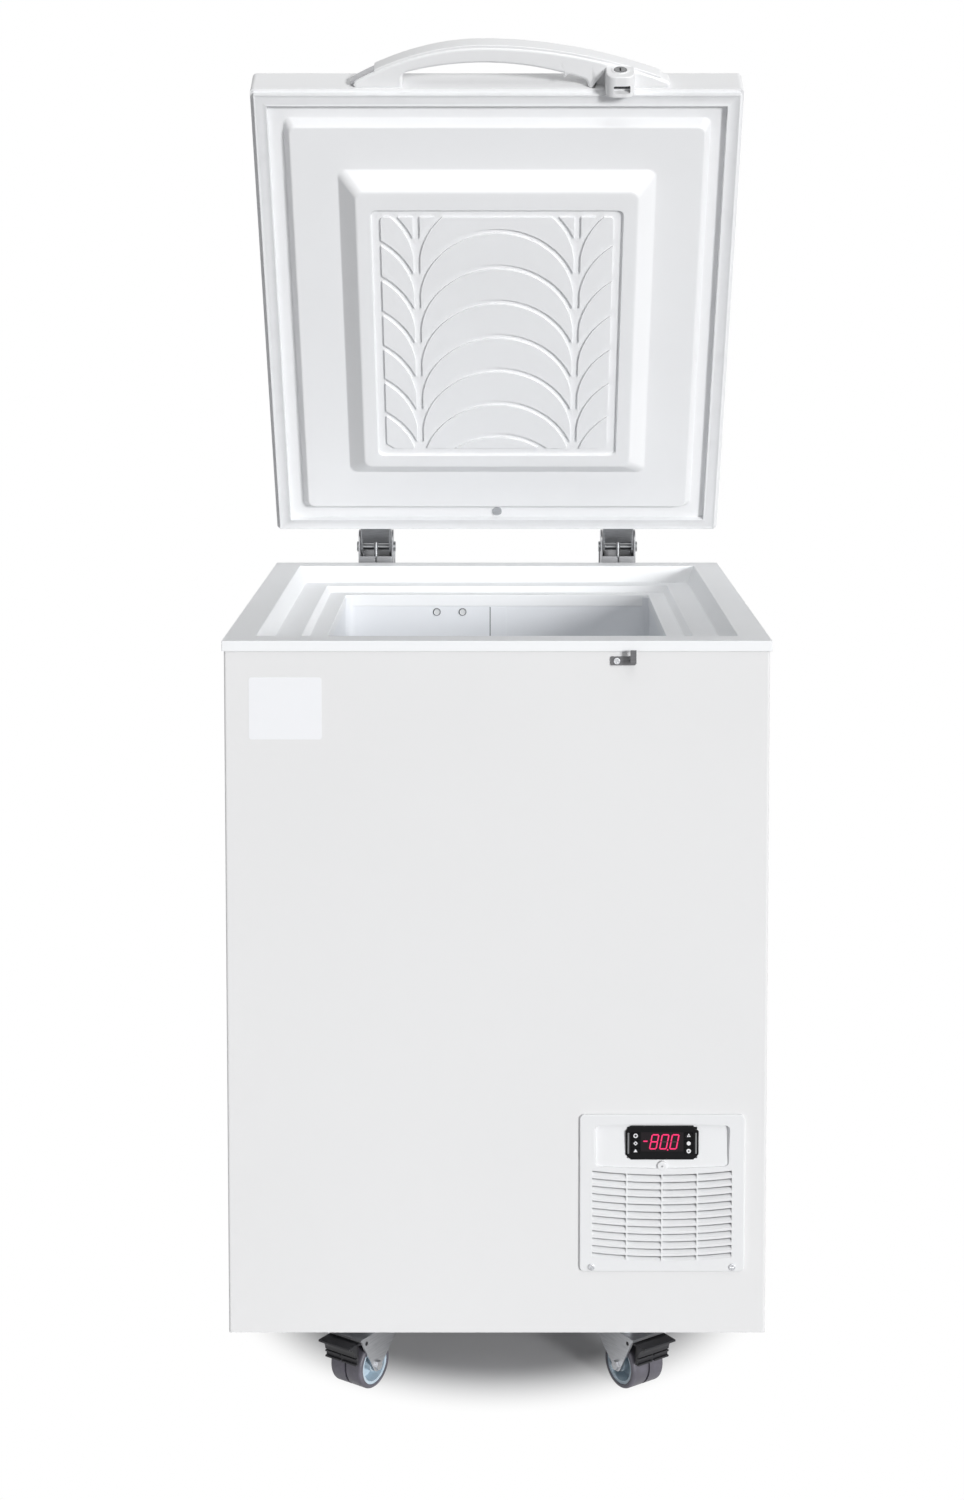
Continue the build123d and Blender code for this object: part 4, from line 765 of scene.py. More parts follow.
def terrace(steps):
    """Steps down from the selected face: each one insets it and then moves it up or down."""
    for width, rise in steps:
        if width:
            inset(width)
            move(up=rise)
        else:
            pull(up=rise)


def bow(piece, rise, reach, low, high):
    """Bows the corners between two heights into an arch over the front panel's middle."""
    deselect_all()
    for corner in piece.data.vertices:
        if low < corner.co.z < high:
            corner.co.z += rise * (1 - ((corner.co.x - panel_middle) / reach) ** 2)


def modify(piece, kind, **settings):
    """Applies one modifier."""
    deselect_all()
    piece.select_set(True)
    bpy.context.view_layer.objects.active = piece
    modifier = piece.modifiers.new(kind, kind)
    for name, value in settings.items():
        setattr(modifier, name, value)
    bpy.ops.object.modifier_apply(modifier=kind)


def soften(piece, width, segments=3, angle=35):
    """Rounds the edges that are sharper than an angle."""
    modify(
        piece,
        "BEVEL",
        width=width,
        segments=segments,
        limit_method="ANGLE",
        angle_limit=radians(angle),
    )


def cut(piece, cutter, operation="DIFFERENCE"):
    """Cuts a piece with another, which is used up."""
    modify(piece, "BOOLEAN", object=cutter, operation=operation, solver="EXACT")
    bpy.data.objects.remove(cutter)


def copy_at(piece, across=0.0, deep=0.0, up=0.0):
    """A copy with its own mesh, moved."""
    deselect_all()
    twin = piece.copy()
    twin.data = piece.data.copy()
    twin.data.transform(Matrix.Translation((across, deep, up)))
    bpy.context.scene.collection.objects.link(twin)
    return twin


def joined(name, pieces):
    """Several meshes made one object."""
    deselect_all()
    for piece in pieces:
        piece.select_set(True)
    bpy.context.view_layer.objects.active = pieces[0]
    bpy.ops.object.join()
    pieces[0].name = name
    return pieces[0]


def dress(piece, material, body="cabinet", replaces=(), smooth=35):
    """Shades a finished piece, gives it its material and its body, and hides the nodes it stands for."""
    deselect_all()
    piece.select_set(True)
    bpy.context.view_layer.objects.active = piece
    bpy.ops.object.shade_smooth_by_angle(angle=radians(smooth))
    modify(piece, "WEIGHTED_NORMAL", keep_sharp=True)
    piece.data.materials.clear()
    piece.data.materials.append(material)
    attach(piece, body)
    if replaces:
        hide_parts(*replaces)


def dress_lid(piece, material, replaces=(), smooth=35):
    """Sets a piece made in the lid's own lines on the open lid, and dresses it."""
    deselect_all()
    piece.data.transform(lid_place)
    dress(piece, material, "lid", replaces, smooth)


# Rim collar: a moulded sheet that steps down from the rim into the tank's mouth
collar = plate("collar_moulding", rim_low, rim_high, rim_high.z)
choose("FACE", facing((0, 0, 1)))
terrace(collar_steps)
bpy.ops.mesh.delete(type="FACE")
choose("EDGE", lambda edge: edge.is_boundary and middle_of(edge).z > rim_high.z - collar_edge)
pull(up=-collar_band)
orient()
modify(collar, "SOLIDIFY", thickness=collar_wall, offset=-1)
soften(collar, collar_edge, 4, 20)
dress(collar, collar_plastic, replaces=["rim_collar"], smooth=50)

# Cover strip over the seam in the tank's back wall
seam = block("tank_seam_cover", seam_low, seam_high)
soften(seam, seam_edge, 2)
dress(seam, tank_white)
# A dark strip along the seam cover's left edge: painted shadow of the cover's edge.
seam_shadow_strip = block(
    "tank_seam_painted_shadow",
    (seam_low[0] - seam_line, seam_low[1] + shadow_strip_sunk, seam_low[2]),
    (seam_low[0], seam_high[1], seam_high[2]),
)
soften(seam_shadow_strip, thin_edge, 2)
dress(seam_shadow_strip, painted_shadow_dark)

# Caps over the probe wells, each with a raised rim
caps = []
for across in probe_places:
    cap = disc("probe_cap", (across, tank_back - cap_tall / 2, probe_level), cap_radius, cap_tall)
    choose("FACE", facing((0, -1, 0)))
    inset(cap_rim)
    move(deep=cap_dish)
    soften(cap, cap_edge, 2)
    caps.append(cap)
dress(joined("probe_caps", caps), cap_plastic, replaces=["tank_caps"])

# Dark rings round the caps: painted shadow at the caps' edges
shadow_rings = []
for across in probe_places:
    deselect_all()
    bpy.ops.mesh.primitive_torus_add(
        location=(across, tank_back - ring_wire / 2, probe_level),
        rotation=(pi / 2, 0, 0),
        major_radius=ring_radius,
        minor_radius=ring_wire,
        major_segments=40,
        minor_segments=10,
    )
    shadow_rings.append(settle("cap_shadow_ring"))
dress(joined("cap_shadow_rings", shadow_rings), painted_shadow_dark)

# Lid liner: a moulded sheet with a step and a plug, whose recessed face carries the relief
liner = plate(
    "lid_liner_moulding",
    (liner_inset - lid_half, lid_front + liner_inset),
    (lid_half - liner_inset, lid_back - liner_inset),
    lid_low,
)
choose("FACE", facing((0, 0, 1)))
terrace(liner_steps)
inset(recess_side)
choose("VERT", lambda corner: corner.select and corner.co.y < lid_middle)
move(deep=recess_front - recess_side)
choose("FACE", lambda face: lies_at(face, "z", plug_low) and face.calc_area() > recess_least)
pull(up=recess_depth)
choose("EDGE", lambda edge: abs(run_of(edge).z) > 0.3)
bevel(liner_corner, 6)
soften(liner, liner_edge, 3, 28)
choose("FACE", everything)
bpy.ops.mesh.flip_normals()
modify(liner, "SOLIDIFY", thickness=liner_wall, offset=-1)

relief = block(
    "liner_relief",
    (-relief_half, lid_front + relief_front, plug_low + recess_depth - relief_tall),
    (relief_half, lid_front + relief_rear, plug_low + recess_depth + relief_sunk),
)
choose("EDGE", running("z"))
bevel(column_groove / 2, 4)
groove_low = plug_low - recess_depth
groove_high = plug_low + 2 * recess_depth
for side in (-1, 1):
    middle = side * column_at
    groove = block(
        "column_groove",
        (middle - column_groove / 2, lid_front, groove_low),
        (middle + column_groove / 2, lid_back, groove_high),
    )
    cut(relief, groove)
deselect_all()
arch_middle = (0, lid_front + arch_first + arch_radius, groove_low)
bpy.ops.mesh.primitive_circle_add(vertices=96, radius=arch_radius, location=arch_middle)
arch = settle("arch_groove")
choose("VERT", lambda corner: corner.co.y > arch_middle[1] + mm)
bpy.ops.mesh.delete(type="VERT")
choose("EDGE", everything)
pull()
inner = 1 - arch_groove / arch_radius
bpy.ops.transform.resize(value=(inner, inner, 1), center_override=arch_middle)
choose("FACE", everything)
pull(up=groove_high - groove_low)
choose("EDGE", lambda edge: edge.is_boundary)
bpy.ops.mesh.fill_holes(sides=0)
orient()
for column in (-1, 0, 1):
    arches = [
        copy_at(arch, across=2 * column * column_at, deep=row * arch_pitch) for row in range(arch_count)
    ]
    cut(relief, joined("arches", arches))
bpy.data.objects.remove(arch)
soften(relief, relief_edge, 2, 40)
liner = joined("lid_liner_moulding", [liner, relief])
dress_lid(liner, liner_plastic, ["lid_liner"], 30)

# Gasket: a magnetic strip with a groove along its face, mitred at the corners
gasket = plate(
    "gasket_strip",
    (gasket_inset - lid_half, lid_front + gasket_inset),
    (lid_half - gasket_inset, lid_back - gasket_inset),
    lid_low - gasket_tall,
)
choose("FACE", facing((0, 0, 1)))
inset(gasket_width)
bpy.ops.mesh.delete(type="FACE")
modify(gasket, "SOLIDIFY", thickness=gasket_tall, offset=1)
choose("FACE", facing((0, 0, -1)))
inset(gasket_width / 3)
move(up=gasket_groove)
soften(gasket, gasket_edge, 3, 30)
for side in (-1, 1):
    for end, y in ((-1, lid_front + gasket_inset), (1, lid_back - gasket_inset)):
        corner = Vector((side * (lid_half - gasket_inset), y, lid_low - gasket_tall))
        mitre = block(
            "mitre",
            (-mitre_cut / 2, -mitre_reach, -mm),
            (mitre_cut / 2, mitre_reach, mitre_deep),
        )
        turn = Matrix.Rotation(-side * end * radians(45), 4, "Z")
        mitre.data.transform(Matrix.Translation(corner) @ turn)
        cut(gasket, mitre)
dress_lid(gasket, gasket_vinyl, ["lid_gasket"], 40)


def reach_out(across):
    """How far the handle's outer line stands from the lid's front."""
    fall = fall_left if across < handle_crown else fall_right
    return handle_reach - fall * (across - handle_crown) ** 2


def lid_bar(name, ends, levels, near, far, cuts=47):
    """A bar in front of the lid, in the lid's own lines, between two lines of reach."""
    made = block(name, (ends[0], lid_front - mm, levels[0]), (ends[1], lid_front + mm, levels[1]))
    choose("EDGE", running("x"))
    bpy.ops.mesh.subdivide(number_cuts=cuts)
    deselect_all()
    for corner in made.data.vertices:
        line = far if corner.co.y < lid_front else near
        corner.co.y = lid_front - line(corner.co.x)
    return made


# Handle: a bow with two feet and a grip hole, its edges well rounded
handle = lid_bar("handle_body", handle_ends, handle_levels, lambda across: -mm, reach_out)
grip = lid_bar(
    "grip_hole",
    grip_ends,
    (handle_levels[0] - mm, handle_levels[1] + mm),
    lambda across: -grip_sunk,
    lambda across: grip_reach - grip_fall * (across - handle_crown) ** 2,
)
choose(
    "EDGE",
    lambda edge: abs(run_of(edge).z) > 0.9
    and min(abs(middle_of(edge).x - end) for end in grip_ends) < 0.1 * mm
    and middle_of(edge).y < lid_front,
)
bevel(grip_round, 6)
cut(handle, grip)
recess = block(
    "lock_recess",
    (recess_ends[0], lid_front - recess_reach, handle_levels[0] - recess_deep),
    (recess_ends[1], lid_front - recess_gap, handle_levels[0] + recess_deep),
)
choose("VERT", lambda corner: corner.co.x < recess_ends[0] + mm and corner.co.y < lid_front - mm)
move(deep=recess_reach - mm)
cut(handle, recess)
choose(
    "EDGE",
    lambda edge: edge.calc_face_angle(0) > radians(50)
    and not (
        recess_ends[0] - mm < middle_of(edge).x < recess_ends[1] + mm
        and middle_of(edge).y > lid_front - recess_reach - mm
    ),
)
bpy.ops.mesh.bevel(offset=handle_round, segments=5, clamp_overlap=False)

# Lock's housing, round in front, with the hook's slot and the barrel's bore
housing = block(
    "lock_housing",
    (lock_at - housing_half, lid_front - housing_reach, housing_low),
    (lock_at + housing_half, lid_front, handle_levels[0] + housing_sunk),
)
choose("EDGE", lambda edge: abs(run_of(edge).y) > 0.9 and middle_of(edge).z < housing_low + mm)
bevel(housing_round, 10)
soften(housing, housing_edge, 3, 50)
slot_left = hook_slot_at[0] - hook_slot_half[0]
slot_right = hook_slot_at[0] + hook_slot_half[0]
slot_far = lid_front - hook_slot_at[1] - hook_slot_half[1]
slot_near = lid_front - hook_slot_at[1] + hook_slot_half[1]
hook_slot = block(
    "hook_slot",
    (slot_left, slot_far, housing_low - mm),
    (slot_right, slot_near, housing_low + hook_slot_deep),
)
choose("EDGE", running("z"))
bevel(hook_slot_corner, 4)
cut(housing, hook_slot)
lock_face = (lock_at, lid_front - housing_reach, lock_level)
cut(housing, disc("bore", lock_face, bore_radius, bore_deep))
collar_ring = disc("lock_collar", lock_face, lock_collar_radius, lock_collar_thick)
cut(collar_ring, disc("bore", lock_face, bore_radius, bore_deep))
soften(collar_ring, fine_edge, 3, 50)
# A near-black plate inside the hook's slot: painted shade deep in the slot.
slot_shade_plate = block(
    "hook_slot_painted_shade",
    (slot_left, slot_far, slot_shade_levels[0]),
    (slot_right, lid_front - slot_shade_back, slot_shade_levels[1]),
)
soften(slot_shade_plate, thin_edge, 2)
dress_lid(slot_shade_plate, painted_shade_black)
handle = joined("handle_body", [handle, housing, collar_ring])
dress_lid(handle, handle_plastic, ["handle"], 40)

# Cover strip along the handle's outer line, and the thin strap that ties it to the left foot
cover = lid_bar(
    "handle_cover_strip",
    cover_ends,
    cover_levels,
    lambda across: reach_out(across) - cover_sunk,
    lambda across: reach_out(across) + cover_proud,
)
soften(cover, cover_edge, 3, 50)
dress_lid(cover, handle_plastic, ["handle_cover"], 40)
strap = lid_bar(
    "handle_strap",
    strap_ends,
    strap_levels,
    lambda across: max(reach_out(across) - strap_sunk, 0),
    lambda across: max(reach_out(across) + strap_proud, strap_least),
    11,
)
soften(strap, fine_edge, 2, 50)
dress_lid(strap, hinge_steel, smooth=40)

# Hinges: a web between each lid arm's cheeks, two plates between each bracket's, and a guard behind
webs = []
feet = []
guards = []
for middle in hinge_places:
    web = block(
        "arm_web",
        (middle - arm_half, arm_reach[0], arm_level),
        (middle + arm_half, arm_reach[1], arm_level + sheet_thick),
    )
    choose("FACE", facing((0, 0, -1)))
    inset(web_border)
    move(up=web_dish)
    soften(web, sheet_edge, 2)
    webs.append(web)
    for side in (-1, 1):
        ends = sorted((middle + side * foot_split, middle + side * foot_half))
        foot = block(
            "bracket_plate",
            (ends[0], foot_at, foot_levels[0]),
            (ends[1], foot_at + sheet_thick, foot_levels[1]),
        )
        soften(foot, fine_edge, 3)
        feet.append(foot)
    guard = block(
        "hinge_guard",
        (middle - guard_half, guard_depths[0], guard_levels[0]),
        (middle + guard_half, guard_depths[1], guard_levels[1]),
    )
    choose("EDGE", running("y"))
    bevel(guard_corner, 4)
    choose("FACE", facing((0, -1, 0)))
    inset(sheet_thick)
    pull(deep=guard_depths[1] - guard_depths[0] - sheet_thick)
    soften(guard, sheet_edge, 2)
    guards.append(guard)
dress_lid(joined("hinge_arm_webs", webs), hinge_steel)
dress(joined("hinge_bracket_plates", feet), hinge_steel)
dress(joined("hinge_guards", guards), hinge_steel)

# Front castor brakes: a cover over the tread with two ribs, and a wing above to step on
front_corner = (brake_front, brake_half, brake_top)
cover_corner = (brake_back, -brake_half, brake_top - brake_sheet)
face_corner = (brake_front - brake_sheet, -brake_half, brake_low)
wing_corner = (brake_front - brake_sheet, -brake_half, brake_hollow_at[2])
for side, castor in zip((-1, 1), castors):
    wing = block("brake_wing", wing_corner, (brake_reach, brake_half, brake_top))
    cut(wing, disc("hollow", brake_hollow_at, brake_hollow_radius, 3 * brake_half))
    brake_parts = [
        block("brake_cover", cover_corner, front_corner),
        block("brake_face", face_corner, front_corner),
        wing,
        disc("brake_pin", brake_pin_at, brake_pin_radius, 2 * brake_pin_half),
    ]
    for low, high in brake_ribs:
        for near, far in ((-brake_half, -brake_split), (brake_split, brake_half)):
            rib = block("brake_rib", (brake_front - mm, near, low), (brake_rib_reach, far, high))
            brake_parts.append(rib)
    for part in brake_parts:
        soften(part, brake_edge, 2, 50)
    brake = joined(f"brake_{castor}", brake_parts)
    deselect_all()
    heading = atan2(-cos(castor_turn), side * sin(castor_turn))
    kingpin = Matrix.Translation((side * castor_at[0], -castor_at[1], 0))
    brake.data.transform(kingpin @ Matrix.Rotation(heading, 4, "Z"))
    dress(brake, brake_plastic, f"brake_{castor}", [f"castor_brake_{castor}"])

# Hinge springs under the lid's levers: each a coil with a cap and a push rod
coils = []
for middle in hinge_places:
    deselect_all()
    bpy.ops.mesh.primitive_circle_add(
        vertices=10, radius=spring_wire, location=(spring_radius, 0, 0), rotation=(pi / 2, 0, 0)
    )
    coil = settle("spring_coil")
    modify(
        coil,
        "SCREW",
        screw_offset=(spring_levels[1] - spring_levels[0]) / spring_turns,
        iterations=spring_turns,
        steps=spring_sides,
        render_steps=spring_sides,
    )
    choose("EDGE", lambda edge: edge.is_boundary)
    bpy.ops.mesh.fill_holes(sides=0)
    orient()
    deselect_all()
    coil.data.transform(Matrix.Translation((middle, spring_deep, spring_levels[0])))
    for radius, low, high in (spring_cap, spring_rod):
        at = (middle, spring_deep, (low + high) / 2)
        part = disc("spring_part", at, radius, high - low, (0, 0, 0))
        soften(part, fine_edge, 2, 50)
        coils.append(part)
    coils.append(coil)
springs = joined("hinge_spring_coils", coils)
dress(springs, spring_steel, replaces=["hinge_springs"])
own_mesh(springs)

# Front panel: a framed plate, hollow behind, with a scoop for the controller and curved louvres
panel = block("front_panel", panel_low, (panel_high.x, front_sheet, panel_high.z))
choose("FACE", facing((0, 1, 0)))
inset(panel_border)
pull(deep=panel_body)
inset(panel_wall)
pull(deep=panel_wall - panel_body)
choose("EDGE", lambda edge: abs(run_of(edge).y) > 0.9 and middle_of(edge).y < front_sheet)
bevel(panel_corner, 6)
choose("EDGE", lambda edge: lies_at(edge, "y", panel_low.y))
bevel(panel_edge, 3)

scoop = block(
    "scoop",
    (panel_middle - scoop_half, panel_low.y - scoop_proud, scoop_low),
    (panel_middle + scoop_half, panel_low.y + scoop_depth, scoop_top),
)
choose("EDGE", running("x"))
bpy.ops.mesh.subdivide(number_cuts=15)
bow(scoop, scoop_arch, scoop_half, scoop_top - mm, scoop_top + mm)
bow(scoop, -scoop_arch, scoop_half, scoop_low - mm, scoop_low + mm)
choose(
    "EDGE",
    lambda edge: abs(run_of(edge).y) > 0.9
    and abs(middle_of(edge).x - panel_middle) > scoop_half - mm,
)
bevel(scoop_corner, 5)
choose("FACE", facing((0, 1, 0)))
floor_middle = (panel_middle, panel_low.y + scoop_depth, scoop_top)
bpy.ops.transform.resize(value=(scoop_floor_share, 1, 1), center_override=floor_middle)
choose("VERT", lambda corner: corner.co.y > panel_low.y and corner.co.z < scoop_low + 2 * scoop_corner)
move(deep=-scoop_fade)
cut(panel, scoop)
soften(panel, small_edge, 2, 38)
room = block(
    "controller_room",
    (panel_middle - controller_room[0], panel_low.y - mm, bezel_middle - controller_room[1]),
    (panel_middle + controller_room[0], front_sheet + 2 * panel_body, bezel_middle + controller_room[1]),
)
cut(panel, room)

cell_step = (louvre_span + louvre_rib) / louvre_columns
cells = []
for column in range(louvre_columns):
    left = panel_middle - louvre_span / 2 + column * cell_step
    cell = block(
        "louvre_cell",
        (left, panel_low.y - mm, louvre_first - louvre_tall),
        (left + cell_step - louvre_rib, panel_low.y + louvre_deep, louvre_first),
    )
    choose("FACE", everything)
    bpy.ops.mesh.bisect(plane_co=(0, 0, louvre_first - louvre_slit), plane_no=(0, 0, 1))
    choose("FACE", lambda face: face.normal.y > 0.9 and middle_of(face).z > louvre_first - louvre_slit)
    pull(deep=2 * panel_body)
    choose("VERT", lambda corner: corner.co.y > panel_low.y and corner.co.z < louvre_first - louvre_tall + mm)
    move(deep=-louvre_deep)
    choose("EDGE", running("x"))
    bpy.ops.mesh.subdivide(number_cuts=7)
    cells.append(cell)
row = joined("louvre_row", cells)
bow(row, -louvre_sag, louvre_span / 2, 0, panel_high.z)
rows = [copy_at(row, up=-number * louvre_pitch) for number in range(louvre_rows)]
bpy.data.objects.remove(row)
cut(panel, joined("louvre_cells", rows))

boss = disc("panel_boss", (panel_middle, panel_low.y + boss_sunk, scoop_low), boss_radius, boss_tall)
soften(boss, boss_edge, 3)
hole_at = (panel_middle, panel_low.y, scoop_low)
cut(boss, disc("boss_hole", hole_at, boss_hole_radius, boss_hole_deep, sides=24))
panel = joined("front_panel", [panel, boss])
dress(panel, panel_plastic, replaces=["front_grille"], smooth=32)

# Near-black sheet behind the louvres: painted shade seen through their slits
shade_sheet_edge = panel_border + 2 * panel_wall
shade_sheet_front = panel_low.y + 2 * panel_wall + shade_sheet_gap
shade_sheet = block(
    "louvre_painted_shade",
    (panel_low.x + shade_sheet_edge, shade_sheet_front, panel_low.z + shade_sheet_edge),
    (panel_high.x - shade_sheet_edge, shade_sheet_front + shade_sheet_thick, scoop_low - shade_sheet_edge),
)
choose("FACE", facing((0, -1, 0)))
inset(shade_sheet_border)
move(deep=shade_sheet_dish)
soften(shade_sheet, sheet_edge, 2)
dress(shade_sheet, painted_shade_black)

# Screws of the front panel and the keeper
heads = []
for across, deep, up in (
    (panel_middle - screw_side, panel_low.y, screw_level),
    (panel_middle + screw_side, panel_low.y, screw_level),
    (keeper_screw[0], front_sheet - keeper_sheet, keeper_screw[1]),
):
    head_middle = (across, deep - head_tall / 2 + head_sunk / 2, up)
    head = disc("screw_head", head_middle, head_radius, head_tall + head_sunk)
    soften(head, small_edge, 3)
    for turn in (head_turn, head_turn + pi / 2):
        slot = block(
            "slot",
            (-head_slot_reach * head_radius, -head_tall - mm, -head_slot / 2),
            (head_slot_reach * head_radius, head_slot_deep - head_tall, head_slot / 2),
        )
        slot.data.transform(Matrix.Translation((across, deep, up)) @ Matrix.Rotation(turn, 4, "Y"))
        cut(head, slot)
    heads.append(head)
dress(joined("front_screw_heads", heads), zinc_steel, replaces=["front_screws"])

# Controller: a glossy frame with cut corners, pockets for the window and the keys, and side ridges in grey, a
# painted highlight
bezel_face = bezel_low.y
bezel_back = bezel_face + bezel_rim
window_low, window_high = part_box("controller_display")
bezel = block("controller_frame", bezel_low, (bezel_high.x, bezel_back, bezel_high.z))
choose("FACE", facing((0, 1, 0)))
inset(bezel_wall)
pull(deep=bezel_high.y - bezel_back)
choose("EDGE", lambda edge: abs(run_of(edge).y) > 0.9 and middle_of(edge).y < bezel_back)
bevel(bezel_corner, 1)
choose("EDGE", lambda edge: lies_at(edge, "y", bezel_face))
bevel(bezel_edge, 3)
pockets = [block("pocket", (window_low.x, bezel_face - mm, window_low.z), window_high)]
for number in key_numbers:
    key_low, key_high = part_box(f"controller_key_{number}")
    around = Vector((key_gap, 0, key_gap))
    pressed = Vector((0, key_travel, 0))
    pockets.append(block("pocket", key_low - around, key_high + around + pressed))
cut(bezel, joined("pockets", pockets))
ridges = []
for side in (-1, 1):
    across = panel_middle + side * ridge_at
    ridge = block(
        "ridge",
        (across - ridge_wide / 2, bezel_face - ridge_proud, bezel_middle - ridge_half),
        (across + ridge_wide / 2, bezel_face + mm, bezel_middle + ridge_half),
    )
    soften(ridge, small_edge, 3)
    ridges.append(ridge)
dress(bezel, black_plastic, replaces=["controller_bezel"])
dress(joined("controller_ridges", ridges), ridge_painted_highlight)

# Display: slanted seven-bar digits that read -80.0, with two bars left dark
half_wide = (digit_wide - digit_bar) / 2
half_tall = (digit_tall - digit_bar) / 2
bar_radius = digit_bar / 3 ** 0.5
lean = Matrix(((1, 0, digit_lean, 0), (0, 1, 0, 0), (0, 0, 1, 0), (0, 0, 0, 1)))


def bar(length, turn):
    """A long hexagon on the window's face: upright, or level when it is turned."""
    deselect_all()
    bpy.ops.mesh.primitive_circle_add(
        vertices=6, radius=bar_radius, fill_type="NGON", rotation=(pi / 2, 0, 0)
    )
    made = settle("bar")
    stretch = length / 2 - bar_radius
    choose("VERT", lambda corner: corner.co.z > 0)
    move(up=stretch)
    choose("VERT", lambda corner: corner.co.z < 0)
    move(up=-stretch)
    choose("FACE", everything)
    pull(deep=-bar_proud)
    orient()
    deselect_all()
    made.data.transform(Matrix.Translation((0, window_low.y, 0)) @ Matrix.Rotation(turn, 4, "Y"))
    return made


upright_bar = bar(half_tall - bar_gap, 0)
level_bar = bar(2 * half_wide - bar_gap, pi / 2)
minus_bar = bar(minus_wide, pi / 2)
lit = [minus_bar]
minus_bar.data.transform(Matrix.Translation((minus_at[0], 0, minus_at[1])))
dark = []
for digit, middle in zip("800", digit_middles):
    bars = [copy_at(level_bar, up=up) for up in (half_tall, -half_tall)]
    for side in (-1, 1):
        for up in (-1, 1):
            bars.append(copy_at(upright_bar, across=side * half_wide, up=up * half_tall / 2))
    crossbar = copy_at(level_bar)
    for made in [*bars, crossbar]:
        made.data.transform(Matrix.Translation((middle, 0, digit_level)) @ lean)
    lit += bars
    (lit if digit == "8" else dark).append(crossbar)
bpy.data.objects.remove(upright_bar)
bpy.data.objects.remove(level_bar)
point_place = (point_at[0], window_low.y - bar_proud / 2, point_at[1])
lit.append(disc("point", point_place, point_radius, bar_proud))
dress(joined("display_lit_bars", lit), segment_lit)
dress(joined("display_dark_bars", dark), segment_off)

# Plain marks printed on the keys: how many sides each has, and how much of it is hollow
mark_shapes = {1: (24, 0.55), 2: (4, 0.5), 3: (3, 0.0), 4: (3, 0.45), 5: (6, 0.0), 6: (24, 0.4)}
for number, (sides, hollow) in mark_shapes.items():
    key_low, key_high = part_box(f"controller_key_{number}")
    at = ((key_low.x + key_high.x) / 2, key_low.y, (key_low.z + key_high.z) / 2)
    mark = disc(f"key_mark_{number}", at, mark_radius, 2 * bar_proud, sides=sides)
    if hollow:
        cut(mark, disc("hollow", at, hollow * mark_radius, mm, sides=sides))
    dress(mark, icon_print, f"key_{number}")

# Blank label on the front sheet
label = block(
    "blank_label",
    (label_low[0], front_sheet - label_proud, label_low[1]),
    (label_high[0], front_sheet + label_sunk, label_high[1]),
)
choose("EDGE", running("y"))
bevel(label_corner, 5)
dress(label, label_film)


# Floor, backdrop, lamps and camera


def floor_finish():
    """Pale floor: it keeps the shadow under the object and fades to the white backdrop."""
    finish = Finish("studio_floor", (0.62, 0.62, 0.63), 0.7, specular_ior_level=0.0)
    finish.feed("Roughness", 0.6 + 0.15 * finish.noise(20.0, 3.0))
    across = finish.axis("X")
    along = finish.axis("Y")
    wide = across / floor_half_width
    deep = along / floor_half_depth
    plain = finish.ramp((wide * wide + deep * deep) ** 0.5, floor_fade[0], floor_fade[1])
    seen = finish.node("ShaderNodeLightPath", output="Is Camera Ray")
    mirrored = finish.node("ShaderNodeLightPath", output="Is Glossy Ray")
    through = finish.node("ShaderNodeLightPath", output="Is Transmission Ray")
    white = finish.node("ShaderNodeEmission", {}, {"Color": (1, 1, 1, 1), "Strength": 1.0})
    lift = finish.node("ShaderNodeEmission", {}, {"Color": (1, 1, 1, 1), "Strength": floor_lift})
    lifted = finish.node("ShaderNodeAddShader", {}, {0: Field(finish, finish.shader.outputs[0]), 1: lift})
    factor = plain * (seen + mirrored + through)
    mixed = finish.node("ShaderNodeMixShader", {}, {0: factor, 1: lifted, 2: white})
    output = finish.tree.nodes["Material Output"]
    finish.tree.links.new(mixed.socket, output.inputs["Surface"])
    return finish.material


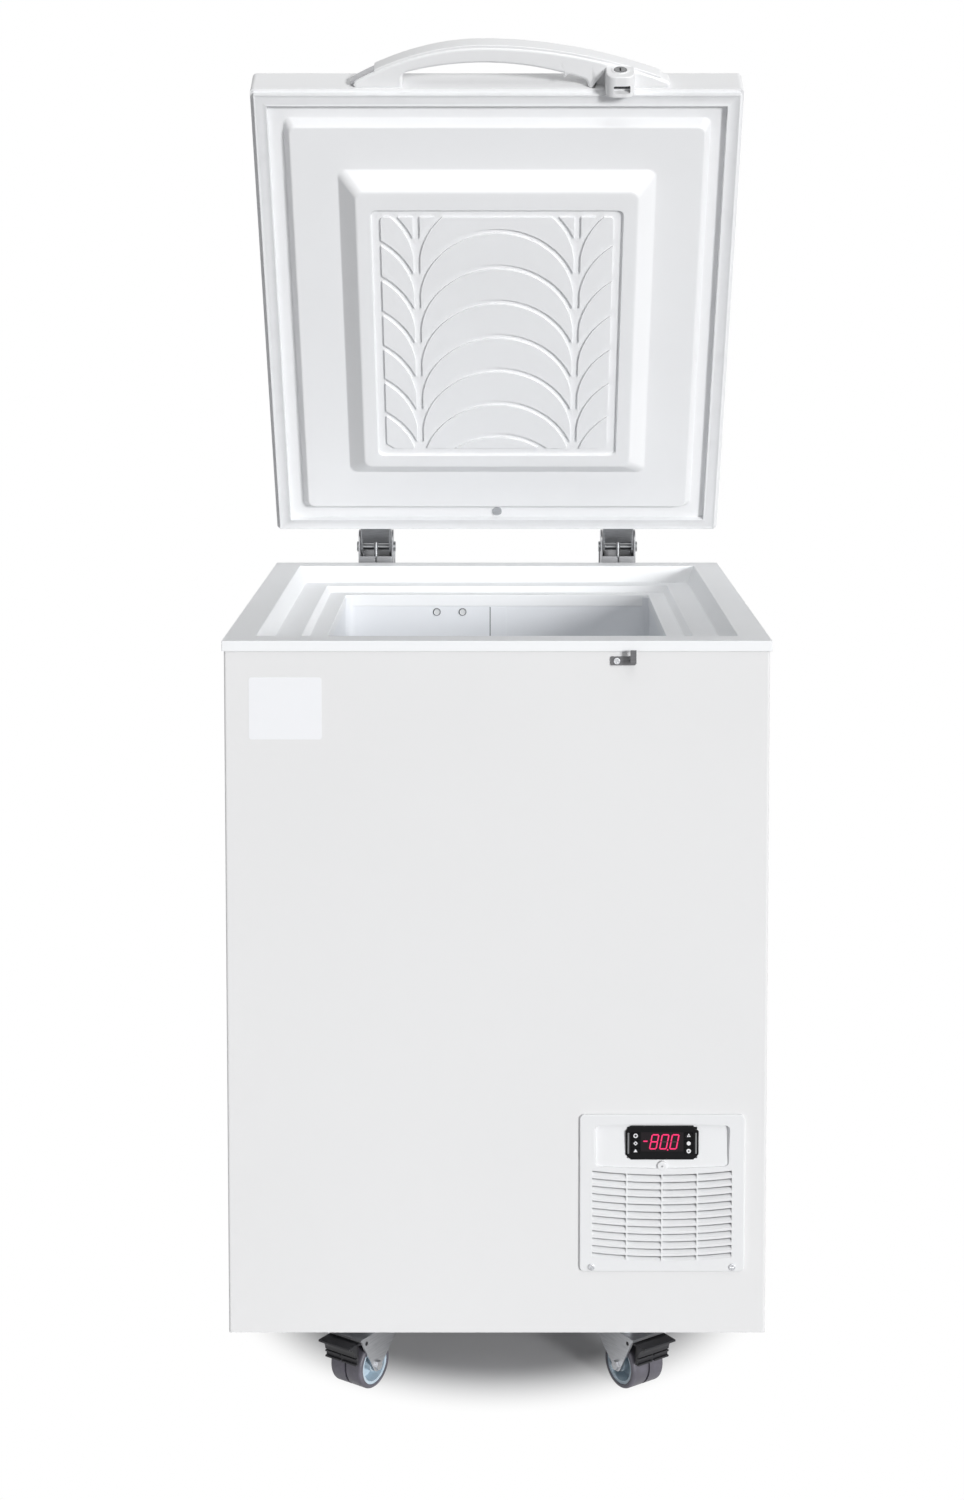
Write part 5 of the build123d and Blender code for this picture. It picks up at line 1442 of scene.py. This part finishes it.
def sun(name, towards, strength, spread, shine=True):
    """A soft sun lamp shining along a direction, with or without its glint."""
    lamp = bpy.data.lights.new(name, "SUN")
    lamp.energy = strength
    lamp.angle = radians(spread)
    holder = bpy.data.objects.new(name, lamp)
    holder.rotation_euler = Vector(towards).to_track_quat("-Z", "Y").to_euler()
    holder.visible_glossy = shine
    bpy.context.scene.collection.objects.link(holder)


floor_lift = 0.01
floor_half_width = 290 * mm
floor_half_depth = 310 * mm
floor_fade = (0.72, 1.08)
bpy.ops.mesh.primitive_plane_add(size=30)
floor = bpy.context.object
floor.name = "floor"
floor.data.materials.append(floor_finish())

backdrop_light = 1.0
ambient_light = 0.22
world = bpy.data.worlds.new("studio")
world.use_nodes = True
bpy.context.scene.world = world
sky = world.node_tree
rays = sky.nodes.new("ShaderNodeLightPath")
shown = rays.outputs["Is Camera Ray"]
for kind in ("Is Transmission Ray", "Is Glossy Ray"):
    larger = sky.nodes.new("ShaderNodeMath")
    larger.operation = "MAXIMUM"
    sky.links.new(shown, larger.inputs[0])
    sky.links.new(rays.outputs[kind], larger.inputs[1])
    shown = larger.outputs[0]
backdrop = sky.nodes.new("ShaderNodeBackground")
backdrop.inputs["Color"].default_value = (1, 1, 1, 1)
backdrop.inputs["Strength"].default_value = backdrop_light
ambient = sky.nodes["Background"]
ambient.inputs["Color"].default_value = (0.97, 0.985, 1.0, 1)
ambient.inputs["Strength"].default_value = ambient_light
either = sky.nodes.new("ShaderNodeMixShader")
sky.links.new(shown, either.inputs[0])
sky.links.new(ambient.outputs[0], either.inputs[1])
sky.links.new(backdrop.outputs[0], either.inputs[2])
sky.links.new(either.outputs[0], sky.nodes["World Output"].inputs["Surface"])

sun("key", (-0.52, 0.84, -0.15), 2.35, 12)
sun("overhead", (-0.15, 0.6, -0.78), 0.65, 40)
sun("rear", (-0.3, -0.95, -0.06), 0.7, 30, False)

lens = bpy.data.cameras.new("camera")
lens.lens = camera_lens
lens.shift_x = camera_shift_x
lens.shift_y = camera_shift_y
camera = bpy.data.objects.new("camera", lens)
camera.location = (0, -camera_distance, camera_height)
camera.rotation_euler = (radians(90 - camera_tilt), 0, 0)
bpy.context.scene.collection.objects.link(camera)
bpy.context.scene.camera = camera
bpy.context.scene.view_settings.view_transform = "Standard"
